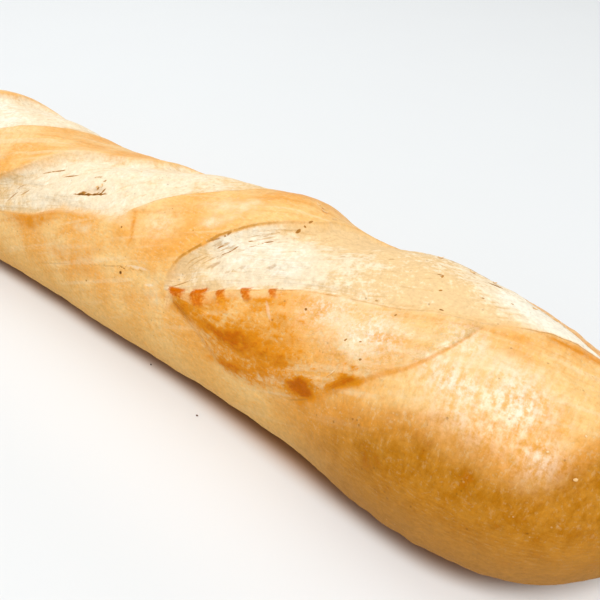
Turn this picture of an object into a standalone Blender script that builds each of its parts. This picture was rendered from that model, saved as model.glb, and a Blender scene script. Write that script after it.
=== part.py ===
"""A loaf of french bread: one long baked body with four slanting scores across its top.

Units are metres and +Z is up. The loaf lies along X, with its fuller end at +X, and rests on
its flat underside, whose middle is the origin.

A place on the crust is given by two numbers. The station is the distance along the loaf from
the +X end. The angle goes round the loaf in degrees: 0 on top, 90 on the -Y side, 180 below.
"""
import bmesh
import bpy
import numpy as np

LOAF = "loaf"
COLLECTION = "french_bread"

# The plain body, before its relief.
LENGTH = 0.452
WIDEST_HEIGHT = 0.0235          # height of the line where the loaf is widest
BELOW_WIDEST = 0.025            # the underside would reach this far down, and is cut flat
FLANK_POWER = 2.6               # a superellipse below the widest line; 2 would be an ellipse
NEAR_NOSE = (0.081, 2.8)        # length over which the +X end rounds off, and how bluntly
FAR_NOSE = (0.074, 2.7)         # the same at the -X end
CENTRING = 0.0004               # along Y, so that the widest points of both flanks balance

# Station, half the width, rise of the top above the widest line, sideways shift along Y.
BODY_STATIONS = (
    (0.000, 0.0355, 0.0340, 0.0010),
    (0.025, 0.0365, 0.0340, -0.0030),
    (0.050, 0.0370, 0.0345, -0.0015),
    (0.080, 0.0345, 0.0350, 0.0010),
    (0.115, 0.0335, 0.0335, 0.0020),
    (0.155, 0.0340, 0.0345, 0.0025),
    (0.200, 0.0330, 0.0340, 0.0015),
    (0.250, 0.0330, 0.0335, 0.0010),
    (0.320, 0.0350, 0.0350, 0.0000),
    (0.385, 0.0355, 0.0350, -0.0010),
    (0.425, 0.0355, 0.0340, -0.0005),
    (0.452, 0.0350, 0.0335, 0.0000),
)

# A score opens between two lips, which meet at both of its tips: angle, station of the lip
# further from the +X end, station of the nearer lip.
WIDE_SCORE = (
    (-66, 0.072, 0.072),
    (-50, 0.087, 0.060),
    (-35, 0.097, 0.0525),
    (-28, 0.101, 0.044),
    (-23, 0.103, 0.026),
    (-20, 0.104, 0.032),
    (-14, 0.106, 0.0375),
    (-5, 0.108, 0.043),
    (7, 0.117, 0.0525),
    (14, 0.122, 0.0627),
    (21, 0.1262, 0.0708),
    (33, 0.132, 0.0955),
    (47, 0.1373, 0.1165),
    (58, 0.139, 0.1305),
    (62, 0.1395, 0.1385),
)
SLIM_SCORE = (
    (-66, 0.132, 0.132),
    (-45, 0.166, 0.125),
    (-29, 0.178, 0.132),
    (-14, 0.181, 0.1385),
    (-1, 0.189, 0.1435),
    (9, 0.2035, 0.1495),
    (23, 0.2135, 0.159),
    (32, 0.2190, 0.164),
    (42, 0.227, 0.172),
    (48, 0.2325, 0.191),
    (61, 0.2385, 0.2125),
    (72, 0.2425, 0.242),
)
SLIM_SCORE_SHIFTS = (0.0, 0.097, 0.188)     # the slim score comes three times

# The flap of crust lifted beside the wide score: station, angles of its upper and lower edge.
FLAP = (
    (0.0500, 6.0, 7.0),
    (0.0535, 8.0, 22.0),
    (0.0580, 10.5, 34.0),
    (0.0660, 17.0, 47.5),
    (0.0745, 23.5, 62.0),
    (0.0830, 28.0, 75.0),
    (0.0960, 33.2, 84.0),
    (0.1110, 43.7, 85.5),
    (0.1240, 52.3, 74.0),
    (0.1385, 62.0, 62.5),
)

# Swells and hollows along the +Y shoulder: station, height above the plain body.
SHOULDER = (
    (0.000, 0.0000),
    (0.045, 0.0002),
    (0.085, -0.0001),
    (0.098, -0.0013),
    (0.106, 0.0002),
    (0.118, 0.0035),
    (0.140, 0.0010),
    (0.185, -0.0027),
    (0.207, -0.0032),
    (0.240, -0.0010),
    (0.262, 0.0000),
    (0.285, 0.0020),
    (0.318, -0.0026),
    (0.352, 0.0015),
    (0.372, 0.0020),
    (0.395, -0.0024),
    (0.420, -0.0005),
    (0.435, 0.0000),
    (0.452, 0.0000),
)
SHOULDER_FADE = (-88, -50, -22, 25)         # angles where the shoulder comes in and goes out

# Relief heights and the distances over which they run.
SCORE_DEPTH = 0.0019            # hollow under the far lip of a score
SCORE_REACH = 0.011
FAR_LIP_RISE = 0.0015           # crust rounding up over that lip
FAR_LIP_REACH = 0.020
NEAR_LIP_RISE = 0.0010          # thin edge along the near lip
NEAR_LIP_REACH = 0.009
CRUMB_SWELL = 0.0009            # soft swelling in the middle of the opening
TIP_TAPER = 0.016               # a score shallows where it is narrower than this
FLAP_RISE = 0.0017
FLAP_TIP_RISE = 0.4             # share of that rise at the flap's tip towards the +X end
FLAP_TIP_REACH = (0.060, 0.092)             # stations between which it grows to the full rise
FLAP_PROFILES = (1.6, 0.8)      # power of the sine across the flap, at that tip and further on
FLAP_PROFILE_CHANGE = (0.070, 0.100)        # stations between which one turns into the other
FLAP_CREASE = 0.0007            # crease under the flap's lower edge
FLAP_CREASE_WIDTH = 0.0022
FLAP_CREASE_TIP = 0.4           # share of its depth at that tip
FLAP_CREASE_START = (0.056, 0.070)          # stations between which it grows to the full depth
FLAP_CREASE_END = (0.082, 0.100)            # stations between which the crease dies out
LIP_SOFTNESS = 0.0022           # half the width of the sharpest step in this mesh
NOSE_FADE = (0.003, 0.016)      # the relief dies out between these distances from an end

# The mesh: rings from end to end and points round each ring.
RINGS = 132
POINTS_ROUND = 38
END_CROWDING = 0.45             # 0 spaces the rings evenly, 1 crowds them fully to the ends
TOP_CROWDING = 0.22             # closer points over the top, where the relief is

ARC_PER_DEGREE = 0.606e-3       # length along the crust for one degree round the upper half
SLOPE_STEP = 0.5                # degrees, for the slant of a lip
NORMAL_STEP = (0.4e-3, 0.4)     # station and angle steps, for the crust's normals

CRUST_COLOUR = (0.78, 0.43, 0.15, 1.0)
CRUST_ROUGHNESS = 0.5


def curve_through(x, knots, values):
    """Smooth curve through the knots, each slope taken from the neighbouring knots."""
    knots = np.asarray(knots, dtype=float)
    values = np.asarray(values, dtype=float)
    slopes = np.gradient(values, knots)
    x = np.clip(x, knots[0], knots[-1])
    i = np.clip(np.searchsorted(knots, x, side="right") - 1, 0, len(knots) - 2)
    gap = knots[i + 1] - knots[i]
    t = (x - knots[i]) / gap
    start = (2 * t**3 - 3 * t**2 + 1) * values[i] + (t**3 - 2 * t**2 + t) * gap * slopes[i]
    end = (3 * t**2 - 2 * t**3) * values[i + 1] + (t**3 - t**2) * gap * slopes[i + 1]
    return start + end


def column_curve(x, rows, column):
    """Smooth curve through one column of a table, over its first column."""
    return curve_through(x, [row[0] for row in rows], [row[column] for row in rows])


def ramp(x, low, high):
    """0 below low, 1 above high, with a smooth S between them."""
    t = np.clip((x - low) / (high - low), 0.0, 1.0)
    return t * t * (3.0 - 2.0 * t)


def bell(x, centre, width):
    """1 at the centre, falling to about a third one width away."""
    return np.exp(-(((x - centre) / width) ** 2))


def fade_out(distance, reach):
    """1 at no distance, falling to about a third at the reach."""
    return np.exp(-np.clip(distance, 0.0, None) / reach)


def nose_scale(station):
    """Size of the cross-section as a share of the body's, 0 at both ends."""
    scale = np.ones_like(station)
    for distance, (length, bluntness) in ((station, NEAR_NOSE), (LENGTH - station, FAR_NOSE)):
        left = np.clip(1.0 - distance / length, 0.0, 1.0)
        scale = scale * np.sqrt(1.0 - left**bluntness)
    return scale


def body_point(station, angle):
    """Point of the plain body: half an ellipse above the widest line, fuller flanks below."""
    turn = np.radians(angle)
    across = np.sin(turn)
    up = np.cos(turn)
    power = 2.0 / FLANK_POWER
    scale = nose_scale(station)
    half_width = column_curve(station, BODY_STATIONS, 1) * scale
    rise = column_curve(station, BODY_STATIONS, 2) * scale
    flank = np.sign(across) * np.abs(across) ** power
    y = -np.where(up >= 0.0, across, flank) * half_width
    z = np.where(up >= 0.0, up * rise, -np.abs(up) ** power * BELOW_WIDEST * scale)
    y = y + column_curve(station, BODY_STATIONS, 3) + CENTRING
    return np.stack([LENGTH / 2 - station, y, WIDEST_HEIGHT + z], axis=-1)


def body_normal(station, angle):
    """Outward unit normal of the plain body, from small steps along and round it."""
    along, turn = NORMAL_STEP
    ahead = body_point(np.clip(station + along, 0.0, LENGTH), angle)
    behind = body_point(np.clip(station - along, 0.0, LENGTH), angle)
    round_step = body_point(station, angle + turn) - body_point(station, angle - turn)
    normal = np.cross(ahead - behind, round_step)
    length = np.linalg.norm(normal, axis=-1, keepdims=True)
    return normal / np.maximum(length, 1e-12)


def shoulder_relief(station, angle):
    """Swells and hollows that show against the sky along the +Y shoulder."""
    start, full, hold, end = SHOULDER_FADE
    height = column_curve(station, SHOULDER, 1)
    return height * ramp(angle, start, full) * (1.0 - ramp(angle, hold, end))


def lip_distance(station, angle, rows, column):
    """Distance past a lip, square to it, positive away from the +X end."""
    place = column_curve(angle, rows, column)
    step_along = column_curve(angle + SLOPE_STEP, rows, column)
    step_along = step_along - column_curve(angle - SLOPE_STEP, rows, column)
    slant = step_along / (2 * SLOPE_STEP * ARC_PER_DEGREE)
    return (station - place) / np.sqrt(1.0 + slant**2)


def score_relief(station, angle, rows):
    """One score: hollow under the far lip, crust raised beside both lips, swelling between."""
    far = column_curve(angle, rows, 1)
    near = column_curve(angle, rows, 2)
    within = (angle > rows[0][0]) & (angle < rows[-1][0])
    depth = np.where(within, ramp(far - near, 0.0, TIP_TAPER), 0.0)
    past_far = lip_distance(station, angle, rows, 1)
    before_near = -lip_distance(station, angle, rows, 2)
    soft = LIP_SOFTNESS
    hollow = ramp(-past_far, -0.2 * soft, 2.2 * soft) * fade_out(-past_far, SCORE_REACH)
    far_lip = ramp(past_far, -soft, soft) * fade_out(past_far, FAR_LIP_REACH)
    far_lip = far_lip * ramp(angle, -60, -10)
    near_lip = ramp(before_near, -soft, 0.6 * soft) * fade_out(before_near, NEAR_LIP_REACH)
    near_lip = near_lip * ramp(angle, -20, 20)
    share = (station - near) / np.maximum(far - near, 1e-6)
    swell = np.where((share > 0.0) & (share < 1.0), bell(share, 0.42, 0.22), 0.0)
    relief = CRUMB_SWELL * swell - SCORE_DEPTH * hollow
    relief = relief + FAR_LIP_RISE * far_lip + NEAR_LIP_RISE * near_lip
    return depth * relief


def flap_relief(station, angle):
    """The lifted flap: a swelling between its edges and a crease under its lower edge."""
    upper = column_curve(station, FLAP, 1)
    lower = column_curve(station, FLAP, 2)
    start, end = FLAP[0][0], FLAP[-1][0]
    on_flap = (station > start) & (station < end)
    share = np.clip((angle - upper) / np.maximum(lower - upper, 1e-3), 0.0, 1.0)
    sharp, round_topped = FLAP_PROFILES
    power = sharp + (round_topped - sharp) * ramp(station, *FLAP_PROFILE_CHANGE)
    swelling = FLAP_RISE * ramp(lower - upper, 0, 14) * np.sin(np.pi * share) ** power
    grown = ramp(station, *FLAP_TIP_REACH)
    swelling = swelling * (FLAP_TIP_RISE + (1.0 - FLAP_TIP_RISE) * grown)
    below = (angle - lower) * ARC_PER_DEGREE * 0.55
    crease = FLAP_CREASE * ramp(lower - upper, 0, 10) * bell(below, 0.0016, FLAP_CREASE_WIDTH)
    deepened = ramp(station, *FLAP_CREASE_START)
    crease = crease * (FLAP_CREASE_TIP + (1.0 - FLAP_CREASE_TIP) * deepened)
    crease = crease * (1.0 - ramp(station, *FLAP_CREASE_END))
    return np.where(on_flap, swelling - crease, 0.0)


def shifted(rows, shift):
    """The same score further along the loaf."""
    return tuple((angle, far + shift, near + shift) for angle, far, near in rows)


def crust_relief(station, angle):
    """Height of the crust above the plain body."""
    scores = [WIDE_SCORE] + [shifted(SLIM_SCORE, shift) for shift in SLIM_SCORE_SHIFTS]
    relief = shoulder_relief(station, angle) + flap_relief(station, angle)
    for rows in scores:
        relief = relief + score_relief(station, angle, rows)
    start, full = NOSE_FADE
    return relief * ramp(station, start, full) * ramp(LENGTH - station, start, full)


def crust_point(station, angle):
    """Point of the finished crust, cut flat where the loaf rests."""
    relief = crust_relief(station, angle)[..., None]
    point = body_point(station, angle) + body_normal(station, angle) * relief
    point[..., 2] = np.maximum(point[..., 2], 0.0)
    return point


def sphere_to_loaf(unit):
    """Station and angle of each point of a unit sphere whose poles are the loaf's ends."""
    share = np.arccos(np.clip(unit[:, 2], -1.0, 1.0)) / np.pi
    eased = (1.0 - np.cos(np.pi * share)) / 2
    station = LENGTH * ((1.0 - END_CROWDING) * share + END_CROWDING * eased)
    turn = np.arctan2(unit[:, 1], unit[:, 0])
    angle = np.degrees(turn - TOP_CROWDING * np.sin(turn))
    return station, angle


def make_crust_material():
    """Golden baked crust."""
    material = bpy.data.materials.new("baked_crust")
    material.use_nodes = True
    shader = material.node_tree.nodes["Principled BSDF"]
    shader.inputs["Base Color"].default_value = CRUST_COLOUR
    shader.inputs["Roughness"].default_value = CRUST_ROUGHNESS
    shader.inputs["Metallic"].default_value = 0.0
    return material


def make_loaf(collection):
    """A sphere drawn out into the loaf, with its scores, flap and flat underside."""
    sphere = bmesh.new()
    bmesh.ops.create_uvsphere(sphere, u_segments=POINTS_ROUND, v_segments=RINGS, radius=1.0)
    mesh = bpy.data.meshes.new(LOAF)
    sphere.to_mesh(mesh)
    sphere.free()

    unit = np.empty(3 * len(mesh.vertices))
    mesh.vertices.foreach_get("co", unit)
    station, angle = sphere_to_loaf(unit.reshape(-1, 3))
    mesh.vertices.foreach_set("co", crust_point(station, angle).ravel())
    mesh.update()
    turn_outward(mesh)
    mesh.shade_smooth()
    mesh.materials.append(make_crust_material())

    loaf = bpy.data.objects.new(LOAF, mesh)
    collection.objects.link(loaf)
    return loaf


def turn_outward(mesh):
    """Split the faces into triangles and point them all out of the loaf."""
    shell = bmesh.new()
    shell.from_mesh(mesh)
    bmesh.ops.triangulate(shell, faces=shell.faces[:])
    bmesh.ops.recalc_face_normals(shell, faces=shell.faces[:])
    shell.to_mesh(mesh)
    shell.free()


def main():
    for old in list(bpy.data.objects):
        bpy.data.objects.remove(old, do_unlink=True)
    collection = bpy.data.collections.new(COLLECTION)
    bpy.context.scene.collection.children.link(collection)
    make_loaf(collection)


main()
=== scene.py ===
"""The looks of a loaf of french bread: baked crust, scores that opened, and loose crumbs.

Units are metres and +Z is up. The loaf lies along X with its fuller end at +X, and its flat
underside is at Z = 0.

A place on the crust is given by two numbers. The station is the distance along the loaf from
the +X end. The angle goes round the loaf in degrees: 0 on top, 90 on the -Y side, 180 below.
"""
from __future__ import annotations

import logging
import math
from dataclasses import dataclass, field
from enum import Enum

import bpy
import numpy as np
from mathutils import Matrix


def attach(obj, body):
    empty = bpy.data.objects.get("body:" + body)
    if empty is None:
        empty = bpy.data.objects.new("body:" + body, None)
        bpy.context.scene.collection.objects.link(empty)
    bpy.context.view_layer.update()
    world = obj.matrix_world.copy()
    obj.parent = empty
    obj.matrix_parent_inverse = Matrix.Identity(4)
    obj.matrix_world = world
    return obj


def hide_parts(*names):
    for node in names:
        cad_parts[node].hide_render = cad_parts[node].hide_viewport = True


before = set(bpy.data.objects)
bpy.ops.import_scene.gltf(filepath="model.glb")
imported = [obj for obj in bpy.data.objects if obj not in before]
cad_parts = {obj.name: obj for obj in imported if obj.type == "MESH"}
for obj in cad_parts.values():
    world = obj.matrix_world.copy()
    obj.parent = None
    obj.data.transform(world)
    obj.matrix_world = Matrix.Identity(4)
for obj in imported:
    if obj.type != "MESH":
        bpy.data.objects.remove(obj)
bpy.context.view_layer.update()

LOG = logging.getLogger("french_bread")
MM = 0.001
ARC_PER_DEGREE = 0.606 * MM     # length along the crust for one degree round the upper half

Rows = tuple[tuple[float, ...], ...]
Colour = tuple[float, float, float, float]
Array = np.ndarray


def tone(red: float, green: float, blue: float) -> Colour:
    """Turn a colour as seen on a screen into the linear colour of a shader.

    Args:
        red, green, blue: screen values from 0 to 255.

    Returns:
        Linear red, green, blue and an alpha of 1, by the sRGB curve.
    """
    linear = []
    for value in (red, green, blue):
        share = value / 255.0
        low = share / 12.92
        high = ((share + 0.055) / 1.055) ** 2.4
        linear.append(low if share <= 0.04045 else high)
    return (linear[0], linear[1], linear[2], 1.0)


def curve_through(x: Array, knots: Array, values: Array) -> Array:
    """Smooth curve through the knots.

    Between two knots it is the cubic that has their values and, at each of them, the slope
    measured across its neighbours.

    Args:
        x: places to read the curve at.
        knots: rising places of the knots.
        values: values at the knots.

    Returns:
        The curve's value at each x, held level outside the knots.
    """
    slopes = np.gradient(values, knots)
    x = np.clip(x, knots[0], knots[-1])
    i = np.clip(np.searchsorted(knots, x, side="right") - 1, 0, len(knots) - 2)
    gap = knots[i + 1] - knots[i]
    t = (x - knots[i]) / gap
    start = (2 * t**3 - 3 * t**2 + 1) * values[i] + (t**3 - 2 * t**2 + t) * gap * slopes[i]
    end = (3 * t**2 - 2 * t**3) * values[i + 1] + (t**3 - t**2) * gap * slopes[i + 1]
    return start + end


def column_curve(x: Array, rows: Rows, column: int) -> Array:
    """Smooth curve through one column of a table, over the table's first column."""
    table = np.array(rows, dtype=float)
    return curve_through(x, table[:, 0], table[:, column])


def ramp(x: Array, low: float, high: float) -> Array:
    """0 below low and 1 above high, with t*t*(3 - 2t) between them."""
    t = np.clip((x - low) / (high - low), 0.0, 1.0)
    return t * t * (3.0 - 2.0 * t)


def bell(x: Array, centre: float, width: float) -> Array:
    """exp(-((x - centre) / width) squared): 1 at the centre, a third one width away."""
    return np.exp(-(((x - centre) / width) ** 2))


def fade_out(distance: Array, reach: float) -> Array:
    """exp(-distance / reach), and 1 for a negative distance."""
    return np.exp(-np.clip(distance, 0.0, None) / reach)


def spread_by_density(fine: Array, density: Array, share: Array) -> Array:
    """Places that lie closer where the density is higher.

    The places stand where the density's running sum reaches the given shares of the whole.

    Args:
        fine: rising places, close together.
        density: the density at each of them.
        share: the shares, from 0 to 1.

    Returns:
        One place for each share.
    """
    running = np.concatenate([[0.0], np.cumsum((density[1:] + density[:-1]) / 2)])
    return np.interp(share, running / running[-1], fine)


class SmoothNoise:
    """Seeded noise over space, between about -1 and 1.

    Every corner of a unit lattice holds a random value, and a point mixes its eight corners
    by an S curve in each direction.
    """

    def __init__(self, seed: int) -> None:
        """Draw the corner values.

        Args:
            seed: seed of the draw.
        """
        draw = np.random.default_rng(seed)
        self.order = draw.permutation(256)
        self.values = draw.uniform(-1.0, 1.0, 256)

    def at(self, x: Array, y: Array, z: Array | float = 0.0) -> Array:
        """Read one octave of the noise.

        Args:
            x, y, z: places, in lattice cells.

        Returns:
            The noise at each place.
        """
        places = np.stack(np.broadcast_arrays(x, y, z)).astype(float)
        corner = np.floor(places).astype(int)
        part = places - corner
        weight = part * part * (3.0 - 2.0 * part)
        total = np.zeros(places.shape[1:])
        for dx in (0, 1):
            for dy in (0, 1):
                for dz in (0, 1):
                    row = self.order[(corner[0] + dx) & 255]
                    row = self.order[(row + corner[1] + dy) & 255]
                    row = self.order[(row + corner[2] + dz) & 255]
                    share = np.where(dx, weight[0], 1 - weight[0])
                    share = share * np.where(dy, weight[1], 1 - weight[1])
                    share = share * np.where(dz, weight[2], 1 - weight[2])
                    total += share * self.values[row]
        return total

    def layered(self, x: Array, y: Array, z: Array | float = 0.0, layers: int = 3) -> Array:
        """Add finer and weaker copies of the noise, each twice as fine and half as strong.

        Args:
            x, y, z: places, in cells of the coarsest layer.
            layers: number of copies.

        Returns:
            The sum at each place.
        """
        total = np.zeros(np.broadcast(x, y, z).shape)
        for layer in range(layers):
            scale = 2.0**layer
            total += self.at(x * scale + 17.3 * layer, y * scale, z * scale) / scale
        return total


# --------------------------------------------------------------------------- the loaf's form


@dataclass(frozen=True)
class Score:
    """One slanting cut that opened while the loaf baked.

    Attributes:
        rows: angle, station of the lip further from the +X end, station of the nearer lip.
        shift: distance by which the whole score is moved along the loaf.
        far_lip_fade: angles over which the far lip's raised edge comes in.
    """

    rows: Rows
    shift: float = 0.0
    far_lip_fade: tuple[float, float] = (-60, -10)

    def lip(self, angle: Array, column: int) -> Array:
        """Station of the far lip (column 1) or of the near lip (column 2)."""
        return column_curve(angle, self.rows, column) + self.shift

    def past_lip(self, station: Array, angle: Array, column: int) -> Array:
        """Distance past a lip, square to it: (station - lip) / sqrt(1 + slant squared).

        Args:
            station, angle: places on the crust.
            column: 1 for the far lip, 2 for the near lip.

        Returns:
            The distance, positive away from the +X end.
        """
        step = 0.5
        along = self.lip(angle + step, column) - self.lip(angle - step, column)
        slant = along / (2 * step * ARC_PER_DEGREE)
        return (station - self.lip(angle, column)) / np.sqrt(1.0 + slant**2)

    def inside(self, station: Array, angle: Array) -> Array:
        """Distance inside the opening, negative outside: the least of the four edges'.

        Args:
            station, angle: places on the crust.

        Returns:
            The distance at each place.
        """
        first = (angle - self.rows[0][0]) * ARC_PER_DEGREE
        last = (self.rows[-1][0] - angle) * ARC_PER_DEGREE
        before_far = -self.past_lip(station, angle, 1)
        past_near = self.past_lip(station, angle, 2)
        return np.minimum.reduce([before_far, past_near, first, last])

    def gate(self, angle: Array) -> Array:
        """1 where the score is wide, falling to 0 at its two tips.

        Args:
            angle: angles on the crust.

        Returns:
            The share at each angle.
        """
        width = self.lip(angle, 1) - self.lip(angle, 2)
        within = (angle > self.rows[0][0]) & (angle < self.rows[-1][0])
        return np.where(within, ramp(width, 0.0, 16 * MM), 0.0)

    def share(self, station: Array, angle: Array) -> Array:
        """Place between the lips: 0 at the near one and 1 at the far one."""
        near = self.lip(angle, 2)
        return (station - near) / np.maximum(self.lip(angle, 1) - near, 1e-6)


WIDE_ROWS: Rows = (
    (-66, 0.072, 0.072),
    (-50, 0.087, 0.060),
    (-35, 0.097, 0.0525),
    (-28, 0.101, 0.044),
    (-23, 0.103, 0.026),
    (-20, 0.104, 0.032),
    (-14, 0.106, 0.0375),
    (-5, 0.108, 0.043),
    (7, 0.117, 0.0525),
    (14, 0.122, 0.0627),
    (21, 0.1262, 0.0708),
    (33, 0.132, 0.0955),
    (47, 0.1373, 0.1165),
    (58, 0.139, 0.1305),
    (62, 0.1395, 0.1385),
)
SLIM_ROWS: Rows = (
    (-66, 0.132, 0.132),
    (-45, 0.166, 0.125),
    (-29, 0.178, 0.132),
    (-14, 0.181, 0.1385),
    (-1, 0.189, 0.1435),
    (9, 0.2035, 0.1495),
    (23, 0.2135, 0.159),
    (32, 0.2190, 0.164),
    (42, 0.227, 0.172),
    (48, 0.2325, 0.191),
    (61, 0.2385, 0.2125),
    (72, 0.2425, 0.242),
)
WIDE_SCORE = Score(WIDE_ROWS)
SLIM_SCORES = tuple(Score(SLIM_ROWS, shift) for shift in (0.0, 0.097, 0.188))
SCORES = (WIDE_SCORE,) + SLIM_SCORES

# Station, half the width, rise of the top above the widest line, sideways shift along Y.
BODY_ROWS: Rows = (
    (0.000, 0.0355, 0.0340, 0.0010),
    (0.025, 0.0365, 0.0340, -0.0030),
    (0.050, 0.0370, 0.0345, -0.0015),
    (0.080, 0.0345, 0.0350, 0.0010),
    (0.115, 0.0335, 0.0335, 0.0020),
    (0.155, 0.0340, 0.0345, 0.0025),
    (0.200, 0.0330, 0.0340, 0.0015),
    (0.250, 0.0330, 0.0335, 0.0010),
    (0.320, 0.0350, 0.0350, 0.0000),
    (0.385, 0.0355, 0.0350, -0.0010),
    (0.425, 0.0355, 0.0340, -0.0005),
    (0.452, 0.0350, 0.0335, 0.0000),
)

# The flap of crust lifted beside the wide score: station, angles of its upper and lower edge.
FLAP_ROWS: Rows = (
    (0.0500, 6.0, 7.0),
    (0.0535, 8.0, 22.0),
    (0.0580, 10.5, 34.0),
    (0.0660, 17.0, 47.5),
    (0.0745, 23.5, 62.0),
    (0.0830, 28.0, 75.0),
    (0.0960, 33.2, 84.0),
    (0.1110, 43.7, 85.5),
    (0.1240, 52.3, 74.0),
    (0.1385, 62.0, 62.5),
)

# Swells and hollows along the +Y shoulder: station, height above the plain body.
SHOULDER_ROWS: Rows = (
    (0.000, 0.0000),
    (0.045, 0.0002),
    (0.085, -0.0001),
    (0.098, -0.0013),
    (0.106, 0.0002),
    (0.118, 0.0035),
    (0.140, 0.0010),
    (0.185, -0.0027),
    (0.207, -0.0032),
    (0.240, -0.0010),
    (0.262, 0.0000),
    (0.285, 0.0020),
    (0.318, -0.0026),
    (0.352, 0.0015),
    (0.372, 0.0020),
    (0.395, -0.0024),
    (0.420, -0.0005),
    (0.435, 0.0000),
    (0.452, 0.0000),
)


@dataclass(frozen=True)
class LoafForm:
    """The loaf's outer shape, without its finest detail.

    Attributes:
        length: whole length along X.
        widest_height: height of the line where the loaf is widest.
        below_widest: how far the underside would reach below that line.
        flank_power: power of the superellipse below the widest line.
        noses: length and bluntness of the rounding at the +X end and at the -X end.
        centring: shift along Y that balances the two flanks.
        lip_softness: half the width of the sharpest step.
        hollow, far_lip, near_lip: depth or height beside a score's lips, and the distance
            over which it fades.
        dough_swell: height of the dough between the lips.
        flap_swell, flap_crease: height of the flap and depth of the crease below it.
        tip_fade: stations from both tips over which the relief comes in.
    """

    length: float = 0.452
    widest_height: float = 0.0235
    below_widest: float = 0.025
    flank_power: float = 2.6
    noses: tuple[tuple[float, float], tuple[float, float]] = ((0.081, 2.8), (0.074, 2.7))
    centring: float = 0.0004
    lip_softness: float = 0.7 * MM
    hollow: tuple[float, float] = (1.9 * MM, 11 * MM)
    far_lip: tuple[float, float] = (1.5 * MM, 20 * MM)
    near_lip: tuple[float, float] = (1.0 * MM, 9 * MM)
    dough_swell: float = 0.9 * MM
    flap_swell: float = 1.7 * MM
    flap_crease: float = 0.7 * MM
    tip_fade: tuple[float, float] = (3 * MM, 16 * MM)

    def nose_scale(self, station: Array) -> Array:
        """Size of the cross-section as a share of the body's: sqrt(1 - left ** bluntness).

        Args:
            station: stations on the crust.

        Returns:
            The share at each station; left is what is missing of the rounding's length.
        """
        scale = np.ones_like(station)
        distances = (station, self.length - station)
        for distance, (length, bluntness) in zip(distances, self.noses):
            left = np.clip(1.0 - distance / length, 0.0, 1.0)
            scale = scale * np.sqrt(1.0 - left**bluntness)
        return scale

    def body_point(self, station: Array, angle: Array) -> Array:
        """Point of the plain body: half an ellipse on top, a superellipse below.

        Args:
            station, angle: places on the crust.

        Returns:
            Points as an array whose last axis is X, Y, Z.
        """
        turn = np.radians(angle)
        across, up = np.sin(turn), np.cos(turn)
        power = 2.0 / self.flank_power
        scale = self.nose_scale(station)
        half_width = column_curve(station, BODY_ROWS, 1) * scale
        rise = column_curve(station, BODY_ROWS, 2) * scale
        flank = np.sign(across) * np.abs(across) ** power
        drop = np.abs(up) ** power * self.below_widest * scale
        y = -np.where(up >= 0.0, across, flank) * half_width
        z = np.where(up >= 0.0, up * rise, -drop) + self.widest_height
        y = y + column_curve(station, BODY_ROWS, 3) + self.centring
        return np.stack([self.length / 2 - station, y, z], axis=-1)

    def normal(self, station: Array, angle: Array) -> Array:
        """Outward unit normal: the cross product of small steps along and round the body.

        Args:
            station, angle: places on the crust.

        Returns:
            Normals as an array whose last axis is X, Y, Z.
        """
        along, turn = 0.4 * MM, 0.4
        ahead = self.body_point(np.clip(station + along, 0.0, self.length), angle)
        behind = self.body_point(np.clip(station - along, 0.0, self.length), angle)
        round_step = self.body_point(station, angle + turn)
        round_step = round_step - self.body_point(station, angle - turn)
        normal = np.cross(ahead - behind, round_step)
        size = np.linalg.norm(normal, axis=-1, keepdims=True)
        return normal / np.maximum(size, 1e-12)

    def shoulder_relief(self, station: Array, angle: Array) -> Array:
        """Swells and hollows along the +Y shoulder."""
        height = column_curve(station, SHOULDER_ROWS, 1)
        return height * ramp(angle, -88, -50) * (1.0 - ramp(angle, -22, 25))

    def score_relief(self, station: Array, angle: Array, score: Score) -> Array:
        """One score: a hollow under the far lip, raised lips and a swelling between them.

        Args:
            station, angle: places on the crust.
            score: the score.

        Returns:
            Height above the plain body.
        """
        soft = self.lip_softness
        past_far = score.past_lip(station, angle, 1)
        before_near = -score.past_lip(station, angle, 2)
        hollow = ramp(-past_far, -0.2 * soft, 1.2 * soft + 2.5 * MM)
        depth, reach = self.hollow
        hollow = depth * hollow * fade_out(-past_far, reach)
        height, reach = self.far_lip
        far_lip = ramp(past_far, -soft, soft) * fade_out(past_far, reach)
        far_lip = height * far_lip * ramp(angle, *score.far_lip_fade)
        height, reach = self.near_lip
        near_lip = ramp(before_near, -soft, 0.6 * soft) * fade_out(before_near, reach)
        near_lip = height * near_lip * ramp(angle, -20, 20)
        share = score.share(station, angle)
        swell = np.where((share > 0.0) & (share < 1.0), bell(share, 0.42, 0.22), 0.0)
        return score.gate(angle) * (self.dough_swell * swell - hollow + far_lip + near_lip)

    def flap_share(self, station: Array, angle: Array) -> Array:
        """Place across the flap: 0 at its upper edge, 1 at its lower edge.

        Args:
            station, angle: places on the crust.

        Returns:
            The share, below 0 above the flap and above 1 below it.
        """
        upper = column_curve(station, FLAP_ROWS, 1)
        lower = column_curve(station, FLAP_ROWS, 2)
        return (angle - upper) / np.maximum(lower - upper, 1e-3)

    def flap_gate(self, station: Array, full: float) -> Array:
        """1 where the flap is wider than full degrees, 0 at its tips and beyond them.

        Args:
            station: stations on the crust.
            full: the width, in degrees, from which it counts in full.

        Returns:
            The share at each station.
        """
        upper = column_curve(station, FLAP_ROWS, 1)
        lower = column_curve(station, FLAP_ROWS, 2)
        on_flap = (station > FLAP_ROWS[0][0]) & (station < FLAP_ROWS[-1][0])
        return np.where(on_flap, ramp(lower - upper, 0, full), 0.0)

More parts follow.
